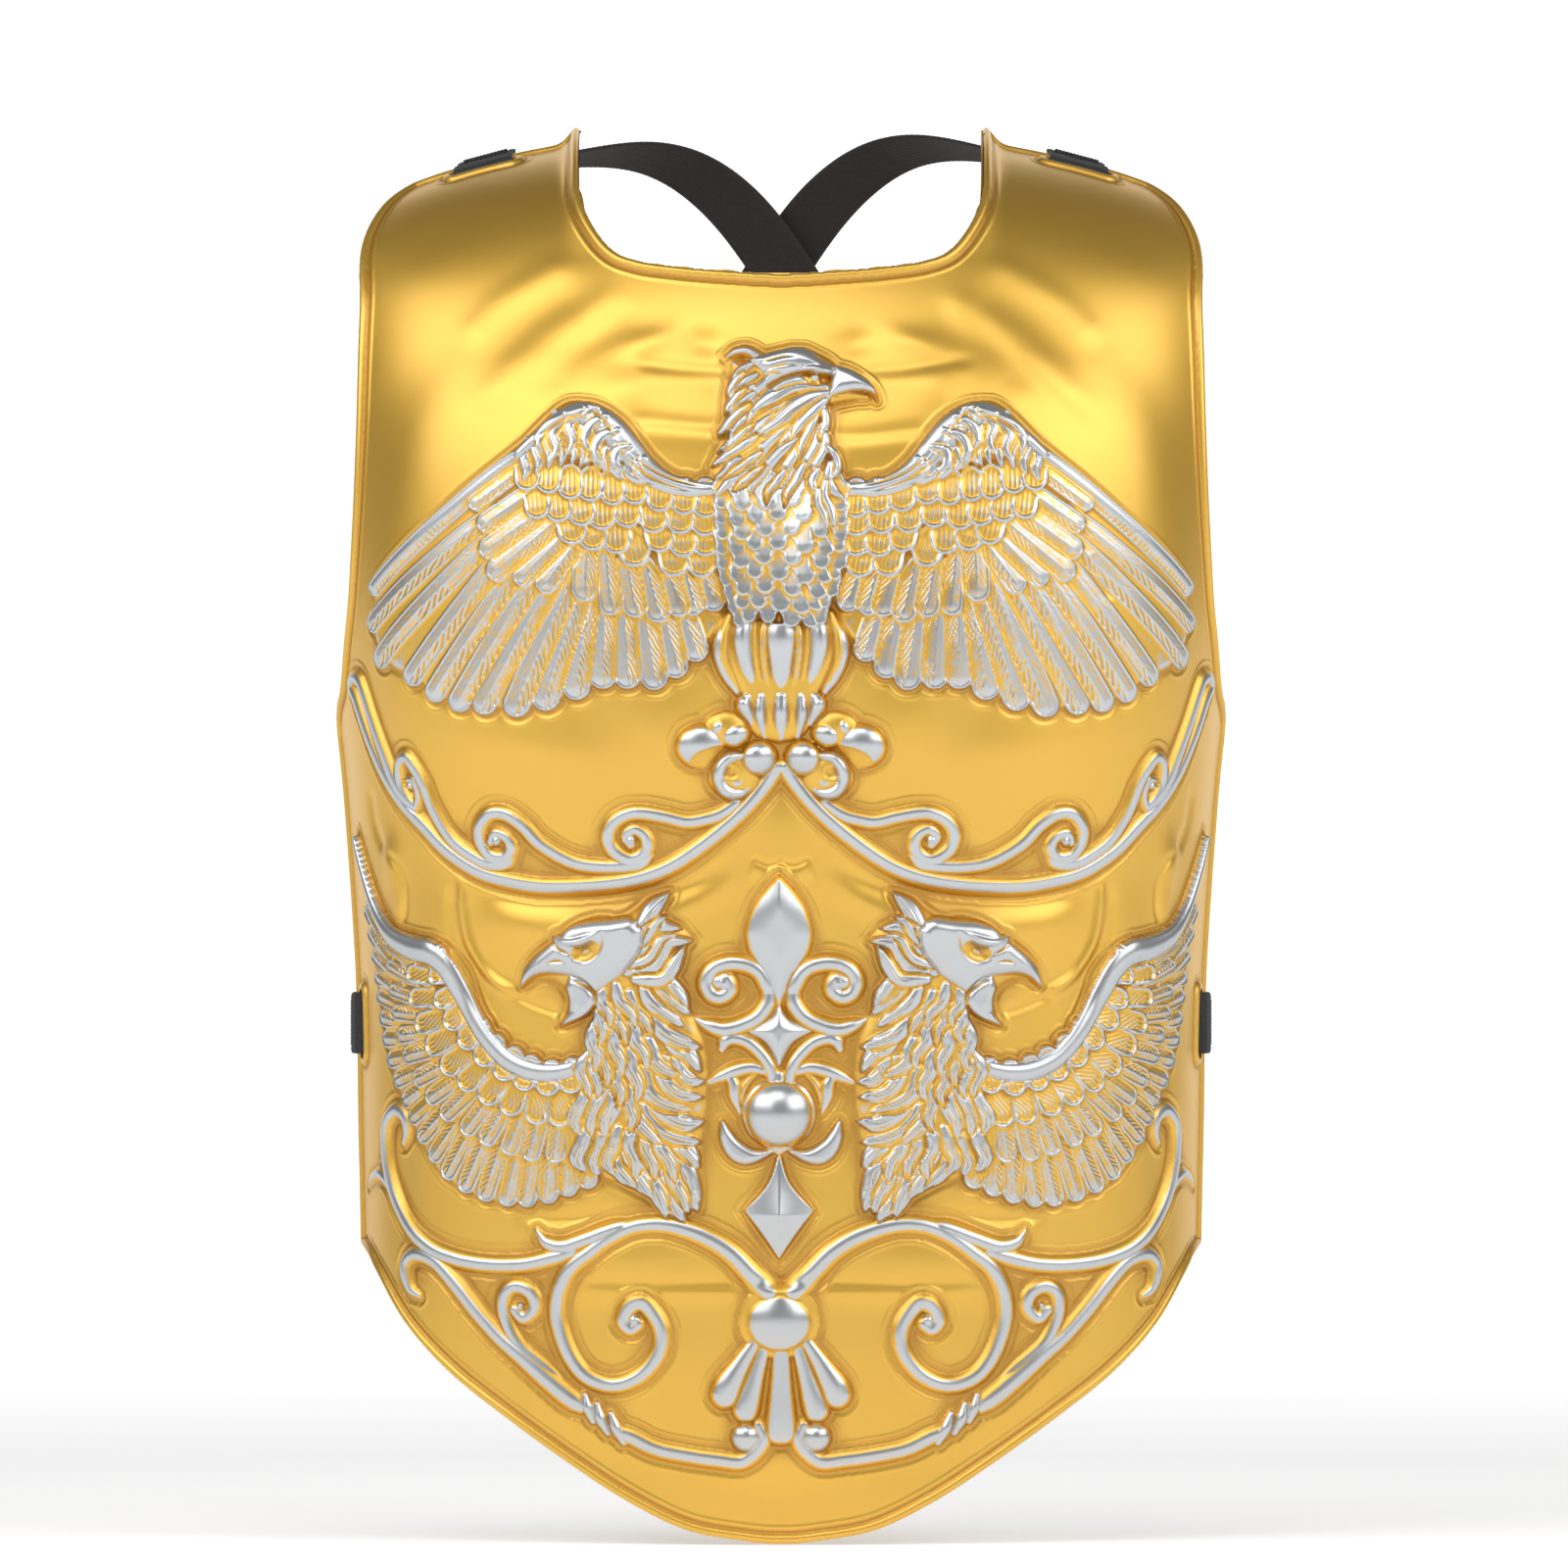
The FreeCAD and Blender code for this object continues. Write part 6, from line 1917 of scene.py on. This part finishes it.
def strapMesh(name, middle, mirror):
    ends = (
        [stop + straps["shoulderBreadth"] for stop in straps["shoulder"]],
        [stop + straps["sideBreadth"] for stop in straps["side"]],
    )
    poles = np.array(ends[0] + middle + ends[1])
    evenly = np.linspace(0, 1, straps["samples"])
    lengths = runLengths((splineWeights(len(poles), evenly) @ poles)[:, :3])
    count = int(lengths[-1] / straps["pitch"])
    at = np.interp(np.linspace(0, lengths[-1], count + 1), lengths, evenly)
    line = splineWeights(len(poles), at) @ poles
    breadth = line[:, 3:] / np.linalg.norm(line[:, 3:], axis=1, keepdims=True)
    along = np.gradient(line[:, :3], axis=0)
    facing = np.cross(along, breadth)
    facing /= np.linalg.norm(facing, axis=1, keepdims=True)
    across = np.linspace(-1, 1, straps["columns"])
    edge = np.sqrt(1 - np.clip((abs(across) - 0.93) / 0.07, 0, 1) ** 2)
    half = straps["thickness"] / 2 - straps["ribHeight"]
    ribs = straps["ribHeight"] * np.cos(np.pi * straps["ribs"] * across)
    profile = (half + ribs) * np.maximum(edge, 0.05)
    points = []
    for row in range(count + 1):
        weave = straps["weave"] * (1 if row % 2 else -1)
        for sign, order in ((1, slice(None)), (-1, slice(None, None, -1))):
            for share, height in zip(across[order], profile[order]):
                outward = facing[row] * (sign * (height + weave * sign))
                points.append(line[row, :3] + outward + breadth[row] * share * straps["width"] / 2)
    ring = 2 * len(across)
    faces = []
    for row in range(count):
        for step in range(ring):
            one = row * ring + step
            other = row * ring + (step + 1) % ring
            faces.append((one, other, other + ring, one + ring))
    faces.append(tuple(range(ring))[::-1])
    faces.append(tuple(range(count * ring, (count + 1) * ring)))
    return plainMesh(name + "_band", points, faces, mirror)


def threadTube(points, faces, path, radius, sides=6):
    start = len(points)
    path = np.array(path, float)
    along = np.gradient(path, axis=0)
    for index, place in enumerate(path):
        way = along[index] / np.linalg.norm(along[index])
        side = np.cross(way, (0.31, 0.52, 0.79))
        side /= np.linalg.norm(side)
        up = np.cross(side, way)
        for step in range(sides):
            angle = 2 * math.pi * step / sides
            points.append(place + radius * (side * math.cos(angle) + up * math.sin(angle)))
    for index in range(len(path) - 1):
        for step in range(sides):
            one = start + index * sides + step
            other = start + index * sides + (step + 1) % sides
            faces.append((one, other, other + sides, one + sides))
    faces.append(tuple(range(start, start + sides))[::-1])
    faces.append(tuple(range(len(points) - sides, len(points))))


def tackMesh(name, kind, mirror):
    # A bar tack: threads laid along it, then stitches to and fro over them
    origin, along, out, breadth = (np.array(way) for way in tacks[kind])
    points, faces = [], []
    middle = origin + along * tacks["run"] + out * tacks["rise"]
    half = tacks["length"] / 2
    for offset in (-0.8, -0.27, 0.27, 0.8):
        path = [
            middle + breadth * s * half + along * offset + out * (0.3 - 0.25 * abs(s) ** 6)
            for s in np.linspace(-1, 1, 9)
        ]
        threadTube(points, faces, path, tacks["thread"])
    for index in range(tacks["stitches"]):
        start = -half + tacks["length"] * index / tacks["stitches"]
        step = tacks["length"] / tacks["stitches"]
        sign = 1 if index % 2 else -1
        path = []
        for share in np.linspace(-1, 1, 9):
            high = tacks["top"] + 0.3 - 0.75 * abs(share) ** 3
            place = middle + along * (share * sign * tacks["width"] / 2) + out * high
            path.append(place + breadth * (start + step * (share + 1) / 2))
        threadTube(points, faces, path, tacks["thread"])
    return plainMesh(name + "_stitches", points, faces, mirror)


bands = {
    "strap_from_left": strapMesh("strap_from_left", straps["under"], False),
    "strap_from_right": strapMesh("strap_from_right", straps["over"], True),
}
stitches = {
    "shoulder_tack_left": tackMesh("shoulder_tack_left", "shoulder_tack", False),
    "shoulder_tack_right": tackMesh("shoulder_tack_right", "shoulder_tack", True),
    "side_tack_right": tackMesh("side_tack_right", "side_tack", False),
    "side_tack_left": tackMesh("side_tack_left", "side_tack", True),
}
report("straps")


# Materials

finish = {
    # the dark gold is for settled paint and painted shade in hollows
    "gold": (0.78, 0.468, 0.066, 1), "goldSettledAndShade": (0.43, 0.2, 0.022, 1), "silver": (0.53, 0.55, 0.565, 1),
    "goldRough": 0.38, "elastic": (0.013, 0.013, 0.014, 1), "thread": (0.022, 0.022, 0.024, 1),
    "paint": {"Metallic": 0.9, "Coat Weight": 0.28, "Coat Roughness": 0.3, "Coat IOR": 1.9},
    # noise over the sheet: scale and detail
    "broad": (9.0, 3.0), "brush": (420.0, 4.0), "grain": (2600.0, 2.0),
}


def newMaterial(name):
    material = bpy.data.materials.new(name)
    material.use_nodes = True
    return material, material.node_tree, material.node_tree.nodes["Principled BSDF"]


def socket(group, name, kind, where, value=None):
    made = group.interface.new_socket(name=name, in_out=where, socket_type=kind)
    if value is not None:
        made.default_value = value
    return made


def link(tree, one, other):
    tree.links.new(one, other)


def node(tree, kind, x=0, y=0, **settings):
    made = tree.nodes.new(kind)
    made.location = (x, y)
    for key, value in settings.items():
        setattr(made, key, value)
    return made


def mathNode(tree, operation, one, other=None, clamp=False):
    made = node(tree, "ShaderNodeMath", operation=operation, use_clamp=clamp)
    for index, value in enumerate((one, other)):
        if value is None:
            continue
        if isinstance(value, (int, float)):
            made.inputs[index].default_value = value
        else:
            link(tree, value, made.inputs[index])
    return made.outputs[0]


def mixColour(tree, share, one, other):
    made = node(tree, "ShaderNodeMix", data_type="RGBA")
    for index, value in ((0, share), (6, one), (7, other)):
        if isinstance(value, (int, float, tuple)):
            made.inputs[index].default_value = value
        else:
            link(tree, value, made.inputs[index])
    return made.outputs[2]


def ramp(tree, value, stops):
    made = node(tree, "ShaderNodeValToRGB")
    elements = made.color_ramp.elements
    while len(elements) < len(stops):
        elements.new(0.5)
    for element, (place, shade) in zip(elements, stops):
        element.position = place
        element.color = (shade, shade, shade, 1)
    link(tree, value, made.inputs[0])
    return made.outputs[0]


def noiseField(tree, scale, detail=2.0, y=0):
    where = node(tree, "ShaderNodeTexCoord", -900, y)
    made = node(tree, "ShaderNodeTexNoise", -700, y)
    made.inputs["Scale"].default_value = scale
    made.inputs["Detail"].default_value = detail
    link(tree, where.outputs["Object"], made.inputs["Vector"])
    return made


def rubbedGoldGroup():
    group = bpy.data.node_groups.new("rubbedGold", "ShaderNodeTree")
    socket(group, "Silver", "NodeSocketFloat", "INPUT", 0.0)
    socket(group, "SettledPaintAndShade", "NodeSocketFloat", "INPUT", 0.0)
    socket(group, "Gold", "NodeSocketColor", "INPUT", finish["gold"])
    socket(group, "SettledAndShadeGold", "NodeSocketColor", "INPUT", finish["goldSettledAndShade"])
    socket(group, "Rubbed", "NodeSocketColor", "INPUT", finish["silver"])
    socket(group, "Colour", "NodeSocketColor", "OUTPUT")
    socket(group, "Roughness", "NodeSocketFloat", "OUTPUT")
    socket(group, "Height", "NodeSocketFloat", "OUTPUT")
    entry = node(group, "NodeGroupInput", -900, 0)
    leave = node(group, "NodeGroupOutput", 900, 0)
    broad = noiseField(group, *finish["broad"], y=-300)
    brush = noiseField(group, *finish["brush"], y=-500)
    brush.inputs["Roughness"].default_value = 0.65
    grain = noiseField(group, *finish["grain"], y=-700)
    # The brush leaves silver where the form is high and the noise lets it
    broken = mathNode(group, "MULTIPLY", mathNode(group, "SUBTRACT", brush.outputs[0], 0.5), 1.1)
    wanted = mathNode(group, "ADD", entry.outputs["Silver"], broken)
    allowed = ramp(group, entry.outputs["Silver"], [(0.05, 0.0), (0.25, 1.0)])
    mask = mathNode(group, "MULTIPLY", ramp(group, wanted, [(0.3, 0.0), (0.68, 1.0)]), allowed)
    shade = ramp(group, broad.outputs[0], [(0.3, 0.0), (0.7, 1.0)])
    # Dark gold where the sheet is hollow: settled paint and painted shade, with a little random tone
    hollowPaintAndShade = mathNode(group, "MULTIPLY", entry.outputs["SettledPaintAndShade"], 0.85)
    hollowPaintAndShade = mathNode(group, "ADD", hollowPaintAndShade, mathNode(group, "MULTIPLY", shade, 0.07), clamp=True)
    gold = mixColour(group, hollowPaintAndShade, entry.outputs["Gold"], entry.outputs["SettledAndShadeGold"])
    colour = mixColour(group, mask, gold, entry.outputs["Rubbed"])
    link(group, colour, leave.inputs["Colour"])
    rough = mathNode(group, "ADD", finish["goldRough"], mathNode(group, "MULTIPLY", grain.outputs[0], 0.06))
    rough = mathNode(group, "ADD", rough, mathNode(group, "MULTIPLY", entry.outputs["SettledPaintAndShade"], 0.12))
    rough = mathNode(group, "SUBTRACT", rough, mathNode(group, "MULTIPLY", mask, 0.09))
    link(group, rough, leave.inputs["Roughness"])
    height = mathNode(group, "ADD", mathNode(group, "MULTIPLY", grain.outputs[0], 0.5), brush.outputs[0])
    link(group, height, leave.inputs["Height"])
    return group


def sheetMaterial(name, group):
    material, tree, shader = newMaterial(name)
    rubbed = node(tree, "ShaderNodeGroup", -500, 0, node_tree=group)
    for key, attribute in (("Silver", "silver"), ("SettledPaintAndShade", "settledPaintAndShade")):
        source = node(tree, "ShaderNodeAttribute", -750, 0, attribute_name=attribute)
        link(tree, source.outputs["Fac"], rubbed.inputs[key])
    link(tree, rubbed.outputs["Colour"], shader.inputs["Base Color"])
    link(tree, rubbed.outputs["Roughness"], shader.inputs["Roughness"])
    for key, value in finish["paint"].items():
        shader.inputs[key].default_value = value
    bump = node(tree, "ShaderNodeBump", -200, -300)
    bump.inputs["Strength"].default_value = 0.12
    bump.inputs["Distance"].default_value = 0.0002
    link(tree, rubbed.outputs["Height"], bump.inputs["Height"])
    link(tree, bump.outputs["Normal"], shader.inputs["Normal"])
    return material


rubbedGold = rubbedGoldGroup()
goldSheet = sheetMaterial("goldSheet", rubbedGold)
silverRelief = sheetMaterial("silverRelief", rubbedGold)

for name, pieces in made.items():
    for piece in pieces:
        piece.data.materials.append(goldSheet if name == "front_shell" else silverRelief)
        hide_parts(name)


def clothMaterial(name, colour, rough):
    material, tree, shader = newMaterial(name)
    noise = noiseField(tree, 900.0)
    light = tuple(2.2 * part for part in colour[:3]) + (1,)
    link(tree, mixColour(tree, noise.outputs[0], colour, light), shader.inputs["Base Color"])
    shader.inputs["Roughness"].default_value = rough
    return material


elastic = clothMaterial("blackElastic", finish["elastic"], 0.72)
thread = clothMaterial("blackThread", finish["thread"], 0.6)
for pieces, material, kind in ((bands, elastic, "black_elastic"), (stitches, thread, "black_thread")):
    for name, piece in pieces.items():
        piece.data.materials.append(material)
        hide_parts(name)
report("materials")


# Stage: a white floor and backdrop, a soft key lamp from the upper left, a fill lamp and a small one above.
# The backdrop stands further back than the camera does when it looks from behind.

stage = {
    "floorZ": -0.5576, "white": (0.9, 0.9, 0.9, 1), "front": -6.0, "back": 12.0, "side": 12.0, "top": 10.0,
    "sweep": 1.5, "world": 0.17,
    # place, target, size, power
    "lamps": {
        "key": ((-1.9, -1.7, 1.3), (0, 0, -0.12), (2.9, 1.7), 43),
        "fill": ((2.1, -1.6, 1.15), (0, 0, -0.12), (2.7, 1.7), 41),
        "top": ((-0.2, -2.1, 1.95), (0, -0.05, -0.15), (1.6, 0.9), 17),
    },
}


def stageSheet():
    # One sheet that sweeps from the floor up into the backdrop
    radius = stage["sweep"]
    profile = [(stage["front"], 0.0)]
    for index in range(13):
        angle = math.pi / 2 * index / 12
        profile.append((stage["back"] - radius + radius * math.sin(angle), radius - radius * math.cos(angle)))
    profile.append((stage["back"], stage["top"]))
    points = [(x, y, stage["floorZ"] + z) for y, z in profile for x in (-stage["side"], stage["side"])]
    faces = [(2 * i, 2 * i + 1, 2 * i + 3, 2 * i + 2) for i in range(len(profile) - 1)]
    mesh = bpy.data.meshes.new("backdrop")
    mesh.from_pydata(points, [], faces)
    mesh.polygons.foreach_set("use_smooth", np.ones(len(faces), bool))
    drop = bpy.data.objects.new("backdrop", mesh)
    bpy.context.scene.collection.objects.link(drop)
    material, tree, shader = newMaterial("backdropWhite")
    shader.inputs["Base Color"].default_value = stage["white"]
    shader.inputs["Roughness"].default_value = 0.9
    # Far from the lamps the sheet gives its own white
    where = node(tree, "ShaderNodeTexCoord", -900, -600)
    away = node(tree, "ShaderNodeVectorMath", -750, -600, operation="LENGTH")
    link(tree, where.outputs["Object"], away.inputs[0])
    far = mathNode(tree, "DIVIDE", away.outputs["Value"], 6.0, clamp=True)
    link(tree, ramp(tree, far, [(0.2, 0.45), (0.6, 1.0)]), shader.inputs["Emission Color"])
    path = node(tree, "ShaderNodeLightPath", -600, -300)
    seen = mathNode(tree, "ADD", path.outputs["Is Camera Ray"], path.outputs["Is Glossy Ray"])
    seen = mathNode(tree, "ADD", seen, path.outputs["Is Transmission Ray"], clamp=True)
    link(tree, seen, shader.inputs["Emission Strength"])
    mesh.materials.append(material)


def lamp(name, place, target, size, power):
    data = bpy.data.lights.new(name, "AREA")
    data.shape = "RECTANGLE"
    data.size, data.size_y = size
    data.energy = power
    made = bpy.data.objects.new(name, data)
    bpy.context.scene.collection.objects.link(made)
    made.location = place
    direction = np.array(target) - np.array(place)
    yaw = math.atan2(direction[1], direction[0]) - math.pi / 2
    pitch = math.atan2(direction[2], math.hypot(direction[0], direction[1])) + math.pi / 2
    made.rotation_euler = (pitch, 0, yaw)


stageSheet()
for name, settings in stage["lamps"].items():
    lamp(name, *settings)
world = bpy.data.worlds.new("studio")
world.use_nodes = True
world.node_tree.nodes["Background"].inputs["Color"].default_value = (1, 1, 1, 1)
world.node_tree.nodes["Background"].inputs["Strength"].default_value = stage["world"]
bpy.context.scene.world = world
bpy.context.scene.view_settings.view_transform = "Standard"
report("stage")

bpy.context.view_layer.update()
